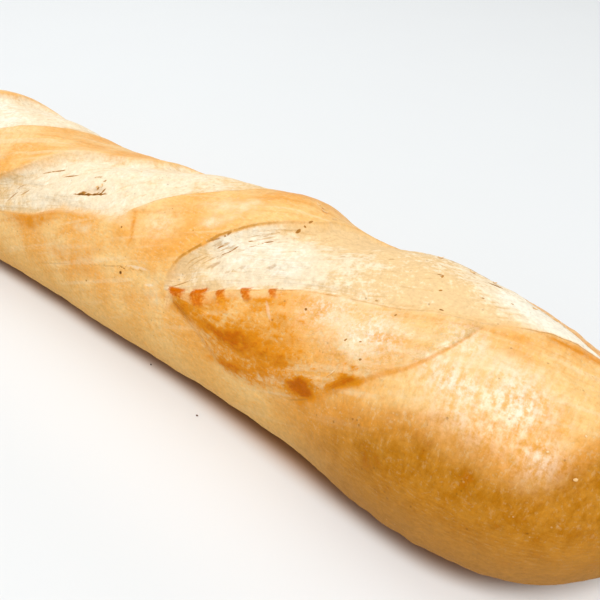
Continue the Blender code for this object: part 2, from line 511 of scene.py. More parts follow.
    def flap_relief(self, station: Array, angle: Array) -> Array:
        """The lifted flap: a swelling between its edges and a crease below the lower one.

        Args:
            station, angle: places on the crust.

        Returns:
            Height above the plain body.
        """
        share = np.clip(self.flap_share(station, angle), 0.0, 1.0)
        steepness = 1.6 - 0.8 * ramp(station, 0.070, 0.100)
        rounded = np.sin(np.pi * share) ** steepness
        swelling = self.flap_swell * self.flap_gate(station, 14) * rounded
        swelling = swelling * (0.4 + 0.6 * ramp(station, 0.060, 0.092))
        lower = column_curve(station, FLAP_ROWS, 2)
        below = (angle - lower) * ARC_PER_DEGREE * 0.55
        crease = self.flap_crease * self.flap_gate(station, 10) * bell(below, 1.6 * MM, 2.2 * MM)
        crease = crease * (0.4 + 0.6 * ramp(station, 0.056, 0.070))
        return swelling - crease * (1.0 - ramp(station, 0.082, 0.100))

    def relief(self, station: Array, angle: Array) -> Array:
        """Height of the crust above the plain body.

        Args:
            station, angle: places on the crust.

        Returns:
            The sum of the shoulder's, the flap's and the scores' heights.
        """
        total = self.shoulder_relief(station, angle) + self.flap_relief(station, angle)
        for score in SCORES:
            total = total + self.score_relief(station, angle, score)
        return total


# ------------------------------------------------------------------------- the crust's detail


def slanted_offsets(
    station: Array, angle: Array, middle: tuple[float, float], slant: float
) -> tuple[Array, Array]:
    """Offsets from a place, along and across a slanting line: the plain ones, turned.

    Args:
        station, angle: places on the crust.
        middle: station and angle of the place.
        slant: degrees from the loaf's length towards growing angle.

    Returns:
        The offset along the line and the one across it.
    """
    along = station - middle[0]
    across = (angle - middle[1]) * ARC_PER_DEGREE
    turn = math.radians(slant)
    line = along * math.cos(turn) + across * math.sin(turn)
    return line, across * math.cos(turn) - along * math.sin(turn)


@dataclass(frozen=True)
class Tear:
    """A small hollow or slit in the crust, along a slanting line.

    Attributes:
        station, angle: its middle.
        half_length, half_width: its size along and across its line, in millimetres.
        slant: degrees from the loaf's length towards growing angle.
        shade: how dark its inside is painted, 0 to 1, as painted shade in the recess together
            with its brown; a negative value pales it.
        depth: how deep it is cut, in millimetres; 0 for one that is only painted.
    """

    station: float
    angle: float
    half_length: float
    half_width: float
    slant: float
    shade: float
    depth: float = 0.0

    def local(self, station: Array, angle: Array) -> tuple[Array, Array]:
        """Place along and across the tear.

        Args:
            station, angle: places on the crust.

        Returns:
            The place along it in half lengths and across it in half widths.
        """
        line, side = slanted_offsets(station, angle, (self.station, self.angle), self.slant)
        return line / (self.half_length * MM), side / (self.half_width * MM)

    def shape(self, station: Array, angle: Array) -> Array:
        """1 in the middle, 0 outside: exp(-line^4 - side^2), in half sizes."""
        line, side = self.local(station, angle)
        return np.exp(-(line**4) - side**2)


@dataclass(frozen=True)
class Patch:
    """A soft-edged patch of darker baking, or of painted highlight in the list of highlights.

    Attributes:
        station, angle: its middle.
        along, across: its size along its line and across it, in millimetres.
        strength: how dark it is, about 0 to 1, or how strong a painted highlight is; a negative
            value pales the crust.
        slant: degrees from the loaf's length towards growing angle.
    """

    station: float
    angle: float
    along: float
    across: float
    strength: float
    slant: float

    def shape(self, station: Array, angle: Array) -> Array:
        """strength * exp(-(line / along)^2 - (side / across)^2).

        Args:
            station, angle: places on the crust.

        Returns:
            The patch's darkness at each place.
        """
        line, side = slanted_offsets(station, angle, (self.station, self.angle), self.slant)
        line, side = line / (self.along * MM), side / (self.across * MM)
        return self.strength * np.exp(-(line**2) - side**2)


# The dark of every tear, slit, pinhole and crease is painted shade inside it, together with its
# brown.
TEARS = (
    # The hole in the second score: its dark line of painted shade, the hollow above it and the
    # bits beside it.
    Tear(0.1862, 34.9, 7.2, 0.50, 18.5, 1.00),
    Tear(0.1858, 32.2, 5.0, 1.70, 19, 0.16, 0.9),
    Tear(0.1849, 29.6, 0.9, 0.38, 30, 0.60),
    Tear(0.1823, 30.6, 1.5, 0.44, 70, 0.90),
    Tear(0.1838, 32.0, 1.0, 0.36, 55, 0.75),
    Tear(0.1812, 32.6, 0.5, 0.36, 0, 0.80),
    Tear(0.1898, 35.4, 1.5, 0.36, 25, 0.60),
    # Dashes in the second score.
    Tear(0.2088, 28.4, 2.6, 0.36, 23, 0.66),
    Tear(0.2015, 28.8, 3.2, 0.30, 29, 0.62),
    Tear(0.2140, 33.0, 2.4, 0.26, 30, 0.36),
    Tear(0.1888, 23.2, 1.9, 0.24, 23, 0.34),
    Tear(0.1845, 23.8, 0.6, 0.30, 0, 0.40),
    Tear(0.2245, 56.0, 4.0, 0.34, 45, 0.34),
    Tear(0.2175, 50.0, 3.0, 0.32, 42, 0.30),
    Tear(0.2220, 48.0, 2.6, 0.26, 42, 0.30),
    # Slits near the far lip of the wide score.
    Tear(0.1302, 28.8, 1.9, 0.18, 47, 0.34),
    Tear(0.1284, 29.8, 1.2, 0.20, 52, 0.44),
    Tear(0.1253, 31.1, 1.9, 0.22, 58, 0.68),
    Tear(0.1238, 26.0, 0.9, 0.19, 50, 0.42),
    Tear(0.1273, 22.8, 0.8, 0.20, 55, 0.44),
    Tear(0.1215, 19.4, 0.8, 0.20, 45, 0.44),
    Tear(0.1193, 21.9, 1.3, 0.20, 45, 0.36),
    Tear(0.1184, 13.2, 1.0, 0.20, 42, 0.24),
    Tear(0.1160, 8.7, 0.8, 0.20, 25, 0.26),
    Tear(0.1164, 15.1, 1.5, 0.26, 39, 0.66),
    Tear(0.1114, 2.6, 0.9, 0.36, 60, 0.60),
    Tear(0.1097, -3.6, 0.8, 0.36, 70, 0.60),
    Tear(0.1345, 55.8, 3.7, 0.24, 37, 0.36),
    # Shallow pits in the wide score, each painted paler inside as if lit, with a line of painted
    # shade along its upper rim.
    Tear(0.1250, 42.0, 3.0, 1.70, 48, -0.12, 1.2),
    Tear(0.1264, 39.6, 2.7, 0.55, 51, 0.24),
    Tear(0.1159, 36.4, 1.6, 0.95, 45, -0.10, 0.8),
    Tear(0.1167, 34.8, 1.6, 0.55, 50, 0.18),
    Tear(0.1075, 30.2, 1.7, 0.95, 45, -0.10, 0.8),
    Tear(0.1083, 28.6, 1.7, 0.60, 48, 0.20),
    Tear(0.1200, 40.0, 1.0, 0.45, 40, 0.20),
    # Small slits nearer the +X end, in the wide score and on the flap.
    Tear(0.0930, 8.0, 0.8, 0.20, 40, 0.34),
    Tear(0.0880, -2.0, 0.7, 0.20, 40, 0.34),
    Tear(0.0815, -2.0, 0.9, 0.20, 40, 0.36),
    Tear(0.0760, 22.0, 0.5, 0.22, 20, 0.36),
    Tear(0.0676, -4.5, 0.9, 0.24, 35, 0.70),
    Tear(0.0668, -3.6, 0.4, 0.22, 80, 0.50),
    Tear(0.0646, 3.0, 0.5, 0.24, 40, 0.50),
    Tear(0.0612, 10.8, 0.6, 0.26, 20, 0.80),
    Tear(0.0558, -5.9, 0.4, 0.24, 40, 0.50),
    Tear(0.0500, -13.3, 0.4, 0.24, 40, 0.50),
    Tear(0.0570, -21.0, 2.0, 0.50, 20, 0.80),
    Tear(0.0655, -27.0, 10.0, 0.50, -6, 0.32),
    Tear(0.0764, 42.4, 0.5, 0.22, 60, 0.50),
    Tear(0.0728, 40.0, 0.4, 0.20, 20, 0.45),
    Tear(0.0706, 45.5, 0.4, 0.24, 40, 0.55),
    Tear(0.0690, 24.0, 0.4, 0.24, 60, 0.50),
    # Pinholes in the crust.
    Tear(0.1588, 65.6, 0.55, 0.50, 0, 0.95),
    Tear(0.1640, 44.0, 0.4, 0.36, 0, 0.50),
    Tear(0.1757, 80.8, 0.4, 0.34, 0, 0.50),
    Tear(0.0907, 39.6, 0.4, 0.36, 0, 0.75),
    Tear(0.0720, 73.0, 0.4, 0.34, 0, 0.45),
    Tear(0.0650, 67.0, 0.4, 0.34, 0, 0.45),
    Tear(0.0533, 88.0, 0.5, 0.40, 0, 0.60),
    # Creases: brown lines, darkened with painted shade in the fold, and stretched pale ones.
    Tear(0.1620, 63.9, 6.6, 0.24, 20, 0.24),
    Tear(0.1530, 60.4, 4.6, 0.24, 12, 0.28),
    Tear(0.1522, 58.9, 4.6, 0.55, 12, -0.36),
    Tear(0.1459, 64.2, 2.0, 0.45, 18, -0.30),
    Tear(0.1006, 47.0, 3.0, 0.50, -42, -0.26),
    Tear(0.1945, 82.4, 11.0, 0.34, 21, 0.16),
    Tear(0.0843, 75.5, 4.0, 0.34, 32, 0.24),
)

# Baked patches of the flap, the crust beside the scores and the two ends. Negative is paler.
# One, marked below, is painted shade.
PATCHES = (
    Patch(0.1135, 64.0, 8.5, 2.0, 0.78, 2),
    Patch(0.1310, 66.5, 4.5, 2.0, 0.50, 20),
    Patch(0.1050, 66.5, 8.5, 3.4, 0.50, 18),
    Patch(0.0920, 62.0, 7.0, 4.5, 0.34, 20),
    Patch(0.0910, 51.0, 8.0, 4.0, 0.20, 20),
    Patch(0.0990, 76.0, 10.0, 3.2, 0.30, 25),
    Patch(0.0832, 70.4, 4.0, 2.4, 1.45, 20),
    Patch(0.0728, 58.0, 6.0, 1.1, 0.90, 40),
    Patch(0.0725, 49.0, 4.5, 0.9, 0.40, 20),
    Patch(0.0700, 33.0, 3.5, 0.9, 0.35, 10),
    Patch(0.0760, 30.0, 4.0, 0.8, 0.40, 10),
    # Painted shade in the fold under the flap's lower edge, with some browning.
    Patch(0.1130, 81.0, 7.0, 2.2, 0.52, 10),
    Patch(0.1940, 74.0, 8.0, 4.0, 0.10, 0),
    Patch(0.0320, -24.0, 10.0, 5.0, 0.26, 0),
    Patch(0.2080, 12.0, 11.0, 5.0, -0.26, 25),
    Patch(0.2430, 37.0, 7.0, 6.0, -0.30, 25),
    Patch(0.1200, 55.0, 10.0, 1.8, 0.26, 32),
    Patch(0.1030, 44.0, 5.0, 2.2, 0.12, 34),
    Patch(0.0780, 37.0, 13.0, 7.5, -0.46, 28),
    Patch(0.0700, 46.0, 4.0, 5.0, -0.20, 28),
    Patch(0.1430, 66.0, 5.0, 8.0, -0.32, 0),
    Patch(0.1655, 63.0, 8.0, 1.5, -0.16, 20),
    Patch(0.1605, 40.5, 7.5, 0.9, 0.30, -62),
    Patch(0.1570, 29.0, 9.0, 0.8, 0.26, 28),
    Patch(0.1515, 35.0, 6.0, 4.0, -0.22, 30),
    Patch(0.1370, 20.5, 6.0, 2.4, -0.24, 25),
    Patch(0.1440, 41.5, 6.5, 5.5, 0.22, 0),
    Patch(0.1640, 50.0, 6.0, 6.0, 0.12, 20),
    Patch(0.1540, 79.0, 5.0, 2.5, 0.14, 10),
    Patch(0.1780, 75.0, 22.0, 4.5, 0.20, 4),
    Patch(0.1340, -24.0, 14.0, 4.0, 0.22, 0),
    Patch(0.1320, 7.0, 9.0, 5.0, -0.42, 25),
    Patch(0.1800, 53.0, 9.0, 2.8, -0.40, 22),
    Patch(0.2080, 63.0, 12.0, 2.6, 0.22, 26),
    Patch(0.1750, 62.0, 14.0, 4.5, 0.16, 15),
    Patch(0.0430, 20.0, 12.0, 7.0, -0.32, 20),
    Patch(0.0410, -6.0, 9.0, 5.0, -0.26, 30),
    Patch(0.0700, 50.0, 6.0, 2.6, 0.16, 20),
    Patch(0.0350, -11.6, 7.0, 1.4, 0.58, 40),
    Patch(0.0400, -4.0, 5.0, 1.5, 0.10, 30),
    Patch(0.2880, 20.0, 9.0, 6.0, 0.20, 0),
    Patch(0.3850, 30.0, 9.0, 6.0, 0.22, 0),
    Patch(0.4300, 40.0, 10.0, 9.0, 0.24, 0),
    Patch(0.1800, -62.0, 16.0, 6.0, 0.18, 10),
    Patch(0.3300, -66.0, 20.0, 6.0, 0.20, -8),
    Patch(0.0700, -74.0, 14.0, 7.0, 0.24, 5),
)

# Painted highlights, laid over places where the crust is also stretched thin, pale and
# blistered.
HIGHLIGHTS_AND_BLISTERS = (
    Patch(0.0490, 33.5, 10.0, 5.0, 0.95, 0),
    Patch(0.0370, 26.0, 8.0, 7.5, 1.00, 0),
    Patch(0.0276, 42.0, 4.5, 6.0, 0.78, 0),
    Patch(0.0520, 18.0, 7.0, 5.0, 0.70, 0),
    Patch(0.0440, 42.0, 12.0, 5.0, 0.55, 0),
    Patch(0.0720, 36.0, 9.0, 6.0, 1.00, 28),
    Patch(0.0850, 36.0, 9.0, 5.0, 0.80, 24),
    Patch(0.1515, 34.0, 7.0, 6.0, 0.42, 25),
    Patch(0.1350, 21.6, 4.0, 2.4, 0.45, 30),
    Patch(0.1400, 11.3, 6.0, 2.4, 0.32, 30),
    Patch(0.1900, 4.0, 14.0, 3.0, 0.40, 25),
    Patch(0.2600, 24.0, 20.0, 8.0, 0.50, 15),
    Patch(0.3520, 26.0, 20.0, 8.0, 0.50, 15),
    Patch(0.4220, 26.0, 14.0, 9.0, 0.75, 5),
    Patch(0.0700, -52.0, 16.0, 8.0, 0.45, 0),
)


@dataclass(frozen=True)
class RidgeTooth:
    """One browned tooth of the flap's torn upper edge.

    Attributes:
        station: its middle, where it meets the edge.
        half_width: half its width along the edge.
    """

    station: float
    half_width: float


TEETH = (
    RidgeTooth(0.1346, 3.3 * MM),
    RidgeTooth(0.1262, 2.5 * MM),
    RidgeTooth(0.1190, 1.5 * MM),
    RidgeTooth(0.1112, 1.5 * MM),
    RidgeTooth(0.1036, 1.2 * MM),
)


@dataclass(frozen=True)
class EdgeLook:
    """How a score's two edges and the dough between them change with the angle.

    Attributes:
        rows: angle, softness of the far edge in mm, strength of its brown line, the same two
            for the near edge, and the dough's tone at the near and at the far edge, from -1
            for beige to 1 for ivory.
        lift: added to the tone.
    """

    rows: Rows
    lift: float = 0.0

    def at(self, angle: Array) -> list[Array]:
        """The six columns at the given angles, each a straight line from row to row."""
        table = np.array(self.rows, dtype=float)
        return [np.interp(angle, table[:, 0], table[:, column]) for column in range(1, 7)]


WIDE_LOOK = EdgeLook((
    (-66, 1.0, 0.0, 1.0, 0.3, -0.4, -0.6),
    (-30, 1.5, 0.2, 0.7, 0.8, 0.7, -1.3),
    (-20, 1.5, 0.2, 0.7, 0.8, 1.2, -1.9),
    (-8, 2.0, 0.3, 0.8, 0.8, 0.1, -1.6),
    (1, 1.2, 0.5, 3.0, 0.2, -0.9, -0.9),
    (10, 0.45, 0.8, 3.0, 0.15, -1.2, 0.1),
    (20, 0.25, 1.0, 1.6, 0.35, -0.7, 0.3),
    (30, 0.25, 1.0, 0.5, 0.6, -0.2, 0.1),
    (42, 0.25, 1.0, 0.3, 0.6, -0.1, -0.9),
    (48, 0.4, 0.5, 0.25, 0.3, -0.7, -1.0),
    (53, 1.5, 0.1, 0.25, 0.3, -0.9, -1.0),
    (62, 1.5, 0.0, 0.3, 0.1, -1.1, -1.1),
))
SLIM_LOOK = EdgeLook((
    (-66, 1.5, 0.0, 1.5, 0.0, -0.4, -0.2),
    (-14, 1.5, 0.2, 0.8, 0.35, -0.9, -0.4),
    (0, 2.0, 0.15, 0.8, 0.4, -0.5, 0.0),
    (20, 3.0, 0.05, 0.8, 0.35, -0.3, -0.1),
    (30, 3.0, 0.1, 2.5, 0.1, -0.15, -0.1),
    (40, 1.5, 0.3, 4.0, 0.0, -0.15, -0.2),
    (50, 0.8, 0.5, 2.0, 0.1, -0.2, -0.6),
    (61, 0.6, 0.6, 1.0, 0.4, -0.6, -1.1),
    (72, 0.6, 0.4, 0.6, 0.4, -0.8, -1.1),
))
PALE_LOOK = EdgeLook(SLIM_LOOK.rows, 0.45)
LOOKS = (WIDE_LOOK, SLIM_LOOK, PALE_LOOK, SLIM_LOOK)


class CrustField(Enum):
    """The numbers that the crust's material reads from each point of the mesh."""

    INSIDE = "inside_opening_mm"
    SOFT = "edge_soft_mm"
    LINE = "edge_line"
    FAR_DEPTH = "past_far_lip_mm"
    STRIAE = "lip_striae"
    TONE = "dough_tone"
    FLOW = "dough_flow_mm"
    STATION = "station_mm"
    ROUND = "round_mm"
    BAKED = "baked"
    TOAST = "toasted_flank"
    FLAP = "flap_strength"
    FLAP_FLOW = "flap_flow_mm"
    FLAP_EDGE = "below_flap_mm"
    FLAP_LINE = "flap_edge_line"
    TOOTH = "from_tooth"
    RIDGE = "below_ridge_mm"
    TOOTHED = "toothed_ridge"
    TEAR_LINE = "tear_line"
    TEAR_SIDE = "tear_side"
    TEAR_SHADE = "tear_shade"
    TEAR_NEAR = "from_tear"
    HIGHLIGHT_AND_BLISTER = "pale_sheen"
    GLOSS = "glossy"
    NOSE = "wrinkled_nose"


@dataclass
class CrustSkin:
    """The whole baked surface, as one closed mesh.

    Attributes:
        form: the loaf's shape.
        rings, points_round: size of the grid.
        seed: seed of the noise.
        open_scale: share of an opening's width that its lines are counted in.
        tooth_lean: how far a tooth leans towards the +X end for each unit of its length.
        tooth_length: length of a tooth.
        lumps, small_lumps, stretch, folds, rough_flap, tooth_rise: heights of the detail, in
            millimetres.
        nowhere: stands for a place that is far from every tear.
    """

    form: LoafForm
    rings: int = 574
    points_round: int = 172
    seed: int = 5
    open_scale: float = 0.6
    tooth_lean: float = 0.8
    tooth_length: float = 3.2 * MM
    lumps: float = 0.55
    small_lumps: float = 0.16
    stretch: float = 0.20
    folds: float = 0.55
    rough_flap: float = 0.26
    tooth_rise: float = 0.6
    nowhere: float = 9.0
    noise: SmoothNoise = field(init=False)

    def __post_init__(self) -> None:
        """Draw the noise."""
        self.noise = SmoothNoise(self.seed)

    def ring_stations(self) -> Array:
        """Stations of the rings, closer where the detail is and towards both ends.

        Returns:
            One rising station for each ring.
        """
        fine = np.linspace(0.0, self.form.length, 4001)
        density = 0.85 + 1.15 * (1.0 - ramp(fine, 0.225, 0.275)) * ramp(fine, 0.02, 0.045)
        density = density + 2.5 * bell(fine, 0.0, 9 * MM)
        density = density + 2.5 * bell(fine, self.form.length, 9 * MM)
        return spread_by_density(fine, density, np.arange(1, self.rings + 1) / (self.rings + 1))

    def ring_angles(self) -> Array:
        """Angles of the points round a ring, closer over the top and the -Y side.

        Returns:
            One rising angle for each point of a ring.
        """
        fine = np.linspace(-180.0, 180.0, 3601)
        density = 0.42 + 1.0 * ramp(fine, -105, -60) * (1.0 - ramp(fine, 100, 122))
        return spread_by_density(fine, density, np.arange(self.points_round) / self.points_round)

    def from_tooth(self, station: Array, angle: Array) -> Array:
        """Distance from the nearest tooth's middle line, in half widths of that tooth.

        Args:
            station, angle: places on the crust.

        Returns:
            The distance at each place, at most 6.
        """
        below = -WIDE_SCORE.past_lip(station, angle, 2)
        foot = station + self.tooth_lean * np.clip(below, 0.0, 8 * MM)
        nearest = np.full(station.shape, 6.0)
        for tooth in TEETH:
            away = np.abs(foot - tooth.station) / tooth.half_width
            nearest = np.minimum(nearest, away)
        return nearest

    def toothed(self, station: Array, angle: Array) -> Array:
        """1 along the torn part of the flap's upper edge, 0 elsewhere."""
        return ramp(station, 0.099, 0.103) * (1.0 - ramp(angle, 68, 74))

    def tooth_band(self, station: Array, angle: Array) -> Array:
        """1 in the strip of torn crust just below the flap's toothed edge, 0 elsewhere.

        Args:
            station, angle: places on the crust.

        Returns:
            The share at each place.
        """
        below = -WIDE_SCORE.past_lip(station, angle, 2)
        band = ramp(below, -0.4 * MM, 0.3 * MM)
        band = band * (1.0 - ramp(below, 0.6 * self.tooth_length, 1.3 * self.tooth_length))
        return band * self.toothed(station, angle)

    def fine_relief(self, station: Array, angle: Array, point: Array) -> Array:
        """Lumps, wrinkles, stretched dough, teeth and the deeper tears, as a height.

        The crust gets broad lumps and short wrinkles that run round the loaf. The openings get
        folds and lines that run along the score. Tears that have a depth are cut in last; the
        finer ones are left to the material.

        Args:
            station, angle: places on the crust.
            point: the same places in space.

        Returns:
            Height above the form's surface.
        """
        noise = self.noise
        x, y, z = (point[..., axis] / MM for axis in range(3))
        round_mm = angle * ARC_PER_DEGREE / MM
        station_mm = station / MM
        height = self.lumps * noise.layered(x / 26, y / 26, z / 26, 2)
        height += self.small_lumps * noise.layered(x / 7.5, y / 7.5, z / 7.5, 2)
        open_share = np.zeros_like(station)
        flow = np.zeros_like(station)
        for score in SCORES:
            inside = ramp(score.inside(station, angle), 0.0, 1.2 * MM)
            open_share = np.maximum(open_share, inside)
            width = score.lip(angle, 1) - score.lip(angle, 2)
            middle = np.clip(width, 0.0, 60 * MM) / MM
            flow += inside * score.share(station, angle) * middle * self.open_scale
        crust = 1.0 - open_share
        wrinkle = noise.layered(station_mm / 2.6, round_mm / 8.0, 7.0, 3)
        nose = ramp(95 * MM - station, 0, 50 * MM)
        height += crust * (0.07 + 0.07 * nose) * wrinkle
        stretch = noise.layered(flow / 2.6, round_mm / 14.0 + station_mm / 24.0, 2.0, 3)
        folds = noise.layered(flow / 8.0, round_mm / 26.0, 4.0, 2)
        height += open_share * (self.stretch * stretch + self.folds * folds)
        flap = self.form.flap_gate(station, 14)
        flap_share = self.form.flap_share(station, angle)
        on_flap = flap * ramp(flap_share, 0.0, 0.08) * (1 - ramp(flap_share, 0.9, 1.0))
        rough = noise.layered(flap_share * 12, station_mm / 8.0, 9.0, 3)
        height += on_flap * self.rough_flap * rough
        tooth = 1.0 - ramp(self.from_tooth(station, angle), 0.6, 1.4)
        raised = self.tooth_rise * tooth - self.tooth_rise / 2
        height += self.tooth_band(station, angle) * raised
        height = height * MM
        for tear in TEARS:
            if tear.depth > 0.0:
                height = height - tear.depth * MM * tear.shape(station, angle)
        return height

    def surface(self, station: Array, angle: Array) -> Array:
        """Points of the finished crust, cut flat where the loaf rests.

        Args:
            station, angle: places on the crust.

        Returns:
            Points as an array whose last axis is X, Y, Z.
        """
        form = self.form
        point = form.body_point(station, angle)
        low = ramp(point[..., 2], 0.5 * MM, 7 * MM)
        near = ramp(station, *form.tip_fade)
        far = ramp(form.length - station, *form.tip_fade)
        height = form.relief(station, angle) * near * far
        height = height + self.fine_relief(station, angle, point) * low * near * far
        point = point + form.normal(station, angle) * height[..., None]
        point[..., 2] = np.maximum(point[..., 2], 0.0)
        return point

    def score_fields(self, station: Array, angle: Array) -> dict[CrustField, Array]:
        """Distances, softness, lines and tone, read from the score nearest to each place.

        Args:
            station, angle: places on the crust.

        Returns:
            One array for each of the score's fields.
        """
        found: dict[CrustField, Array] = {}
        best = np.full(station.shape, -1000.0)
        for score, look in zip(SCORES, LOOKS):
            inside = score.inside(station, angle) / MM
            closer = inside > best
            best = np.where(closer, inside, best)
            far = -score.past_lip(station, angle, 1) / MM
            near = score.past_lip(station, angle, 2) / MM
            by_far = ramp(near - far, -1.5, 1.5)
            width = (score.lip(angle, 1) - score.lip(angle, 2)) / MM
            share = np.clip(score.share(station, angle), 0.0, 1.0)
            far_soft, far_line, near_soft, near_line, near_tone, far_tone = look.at(angle)
            soft = near_soft + (far_soft - near_soft) * by_far
            line = near_line + (far_line - near_line) * by_far
            line = line * ramp(width, 0.0, 5.0) * (1.0 - ramp(np.abs(inside), 1.2, 2.6))
            striae = far_line * ramp(far, 0.3, 1.0) * (1.0 - ramp(far, 4.0, 7.5))
            flow = score.share(station, angle) * np.clip(width, 0, 60) * self.open_scale
            dough = near_tone + (far_tone - near_tone) * share
            own = {
                CrustField.INSIDE: np.clip(inside, -30.0, 30.0),
                CrustField.SOFT: np.minimum(soft, np.clip(0.12 * width, 0.05, 9.0)),
                CrustField.LINE: line,
                CrustField.FAR_DEPTH: np.clip(far, -3.0, 14.0),
                CrustField.STRIAE: striae * ramp(width, 6.0, 18.0),
                CrustField.TONE: dough + 1.2 * share * (1 - share) + look.lift,
                CrustField.FLOW: flow + 0.9 * score.shift / MM,
            }
            for name, value in own.items():
                found[name] = np.where(closer, value, found.get(name, 0.0))
        return found

    def tear_fields(self, station: Array, angle: Array) -> dict[CrustField, Array]:
        """Place along and across the nearest tear, how far off it is, and its shade.

        All three are counted in that tear's half sizes.

        Args:
            station, angle: places on the crust.

        Returns:
            One array for each of the tears' fields.
        """
        most = self.nowhere
        line, side, nearest = (np.full(station.shape, most) for _ in range(3))
        shade = np.zeros(station.shape)
        for tear in TEARS:
            own_line, own_side = tear.local(station, angle)
            away = np.hypot(own_line, own_side)
            closer = away < nearest
            nearest = np.where(closer, away, nearest)
            line = np.where(closer, own_line, line)
            side = np.where(closer, own_side, side)
            shade = np.where(closer, tear.shade, shade)
        return {
            CrustField.TEAR_LINE: np.clip(line, -most, most),
            CrustField.TEAR_SIDE: np.clip(side, -most, most),
            CrustField.TEAR_SHADE: shade,
            CrustField.TEAR_NEAR: nearest,
        }

    def baked_field(self, station: Array, angle: Array) -> Array:
        """How dark the crust has baked: listed patches on a wavering grid.

        Each place is first moved by up to 2 mm of smooth noise, so the patches' edges waver.
        The flap is browner away from the +X end. The slim scores have a browned ridge along
        their near lip, from about 45 degrees down.

        Args:
            station, angle: places on the crust.

        Returns:
            0 for plain gold, 1 for deep brown, -1 for the palest crust.
        """
        u, v = station / (7 * MM), angle / 9.0
        moved_station = station + 1.6 * MM * self.noise.layered(u, v, 20.0, 3)
        moved_angle = angle + 2.4 * self.noise.layered(u, v, 40.0, 3)
        flap_share = self.form.flap_share(station, angle)
        on_flap = self.form.flap_gate(station, 14) * ramp(flap_share, 0.0, 0.15)
        on_flap = on_flap * (1.0 - ramp(flap_share, 0.85, 1.0))
        baked = 0.20 * on_flap * ramp(station, 0.074, 0.096)
        for patch in PATCHES:
            baked = baked + patch.shape(moved_station, moved_angle)
        for score in SLIM_SCORES:
            below = -score.past_lip(moved_station, angle, 2) / MM
            ridge = ramp(below, -0.6, 0.8) * fade_out(below - 1.2, 2.6)
            ridge = ridge * score.gate(angle) * ramp(angle, 42, 52)
            baked = baked + 0.26 * ridge
        return baked

    def flap_fields(self, station: Array, angle: Array) -> dict[CrustField, Array]:
        """Place on the flap, the distance below its lower edge and along its toothed ridge.

        Args:
            station, angle: places on the crust.

        Returns:
            One array for each of the flap's fields.
        """
        form = self.form
        share = form.flap_share(station, angle)
        flap = form.flap_gate(station, 10) * ramp(share, 0.0, 0.05)
        lower = column_curve(station, FLAP_ROWS, 2)
        below = (angle - lower) * ARC_PER_DEGREE * 0.6 / MM
        line = form.flap_gate(station, 12) * (1.0 - ramp(station, 0.071, 0.086))
        ridge = -WIDE_SCORE.past_lip(station, angle, 2) / MM
        return {
            CrustField.FLAP: flap * (1 - ramp(share, 0.94, 1.02)),
            CrustField.FLAP_FLOW: np.clip(share, -1, 2) * 25.0,
            CrustField.FLAP_EDGE: np.clip(below, -20, 20),
            CrustField.FLAP_LINE: line * (1.0 - ramp(np.abs(below), 2.0, 4.0)),
            CrustField.TOOTH: self.from_tooth(station, angle),
            CrustField.RIDGE: np.clip(ridge, -8.0, 20.0),
            CrustField.TOOTHED: self.toothed(station, angle) * (1.0 - ramp(ridge, 7.0, 12.0)),
        }

    def turned(self, station: Array, angle: Array) -> Array:
        """The angle, but told from the height alone close to the two ends.

        There it is 90 degrees at the height of the tip, so no colour gathers in a wedge.

        Args:
            station, angle: places on the crust.

        Returns:
            The angle in degrees, with its sign.
        """
        lift = self.form.body_point(station, angle)[..., 2] - self.form.widest_height
        most = np.where(lift > 0.0, column_curve(station, BODY_ROWS, 2), self.form.below_widest)
        by_height = np.degrees(np.arccos(np.clip(lift / most, -1.0, 1.0)))
        from_end = np.minimum(station, self.form.length - station)
        share = 1.0 - ramp(from_end, 8 * MM, 34 * MM)
        side = np.where(angle < 0.0, -1.0, 1.0)
        return side * (np.abs(angle) * (1.0 - share) + by_height * share)

    def fields(self, station: Array, angle: Array) -> dict[CrustField, Array]:
        """Numbers for the material at each place.

        Args:
            station, angle: places on the crust.

        Returns:
            One array for each field. Distances are in millimetres.
        """
        found = self.score_fields(station, angle)
        found.update(self.tear_fields(station, angle))
        found.update(self.flap_fields(station, angle))
        flap = found[CrustField.FLAP]
        start = 8 + 26 * ramp(station, 0.012, 0.030) + 24 * ramp(station, 0.040, 0.095)
        spread = 50 - 16 * ramp(station, 0.012, 0.030)
        turned = self.turned(station, angle)
        toast = ramp((turned - start) / spread, 0.0, 1.0) * (1.0 - ramp(station, 0.050, 0.112))
        mirrored = ramp((-turned - 50) / 30.0, 0.0, 1.0) * (1.0 - ramp(station, 0.060, 0.140))
        from_far_tip = self.form.length - station
        end = 1.0 - ramp(from_far_tip, 20 * MM, 80 * MM)
        toast = np.maximum.reduce([toast, mirrored, end * ramp(np.abs(turned), 46, 80)])
        # Painted highlights, over pale blistered skin.
        highlight_and_blister = np.zeros(station.shape)
        for patch in HIGHLIGHTS_AND_BLISTERS:
            highlight_and_blister = np.maximum(highlight_and_blister, patch.shape(station, angle))
        nose = 1.0 - ramp(station, 0.075, 0.115)
        nose = np.maximum(nose, 1.0 - ramp(from_far_tip, 0.030, 0.070))
        upper = 1.0 - ramp(np.abs(angle), 58, 92)
        found[CrustField.STATION] = station / MM
        found[CrustField.ROUND] = angle * ARC_PER_DEGREE / MM
        found[CrustField.BAKED] = self.baked_field(station, angle)
        found[CrustField.TOAST] = toast
        found[CrustField.HIGHLIGHT_AND_BLISTER] = highlight_and_blister
        found[CrustField.GLOSS] = upper * (0.45 + 0.55 * np.maximum(nose, flap))
        found[CrustField.NOSE] = nose * upper
        return found

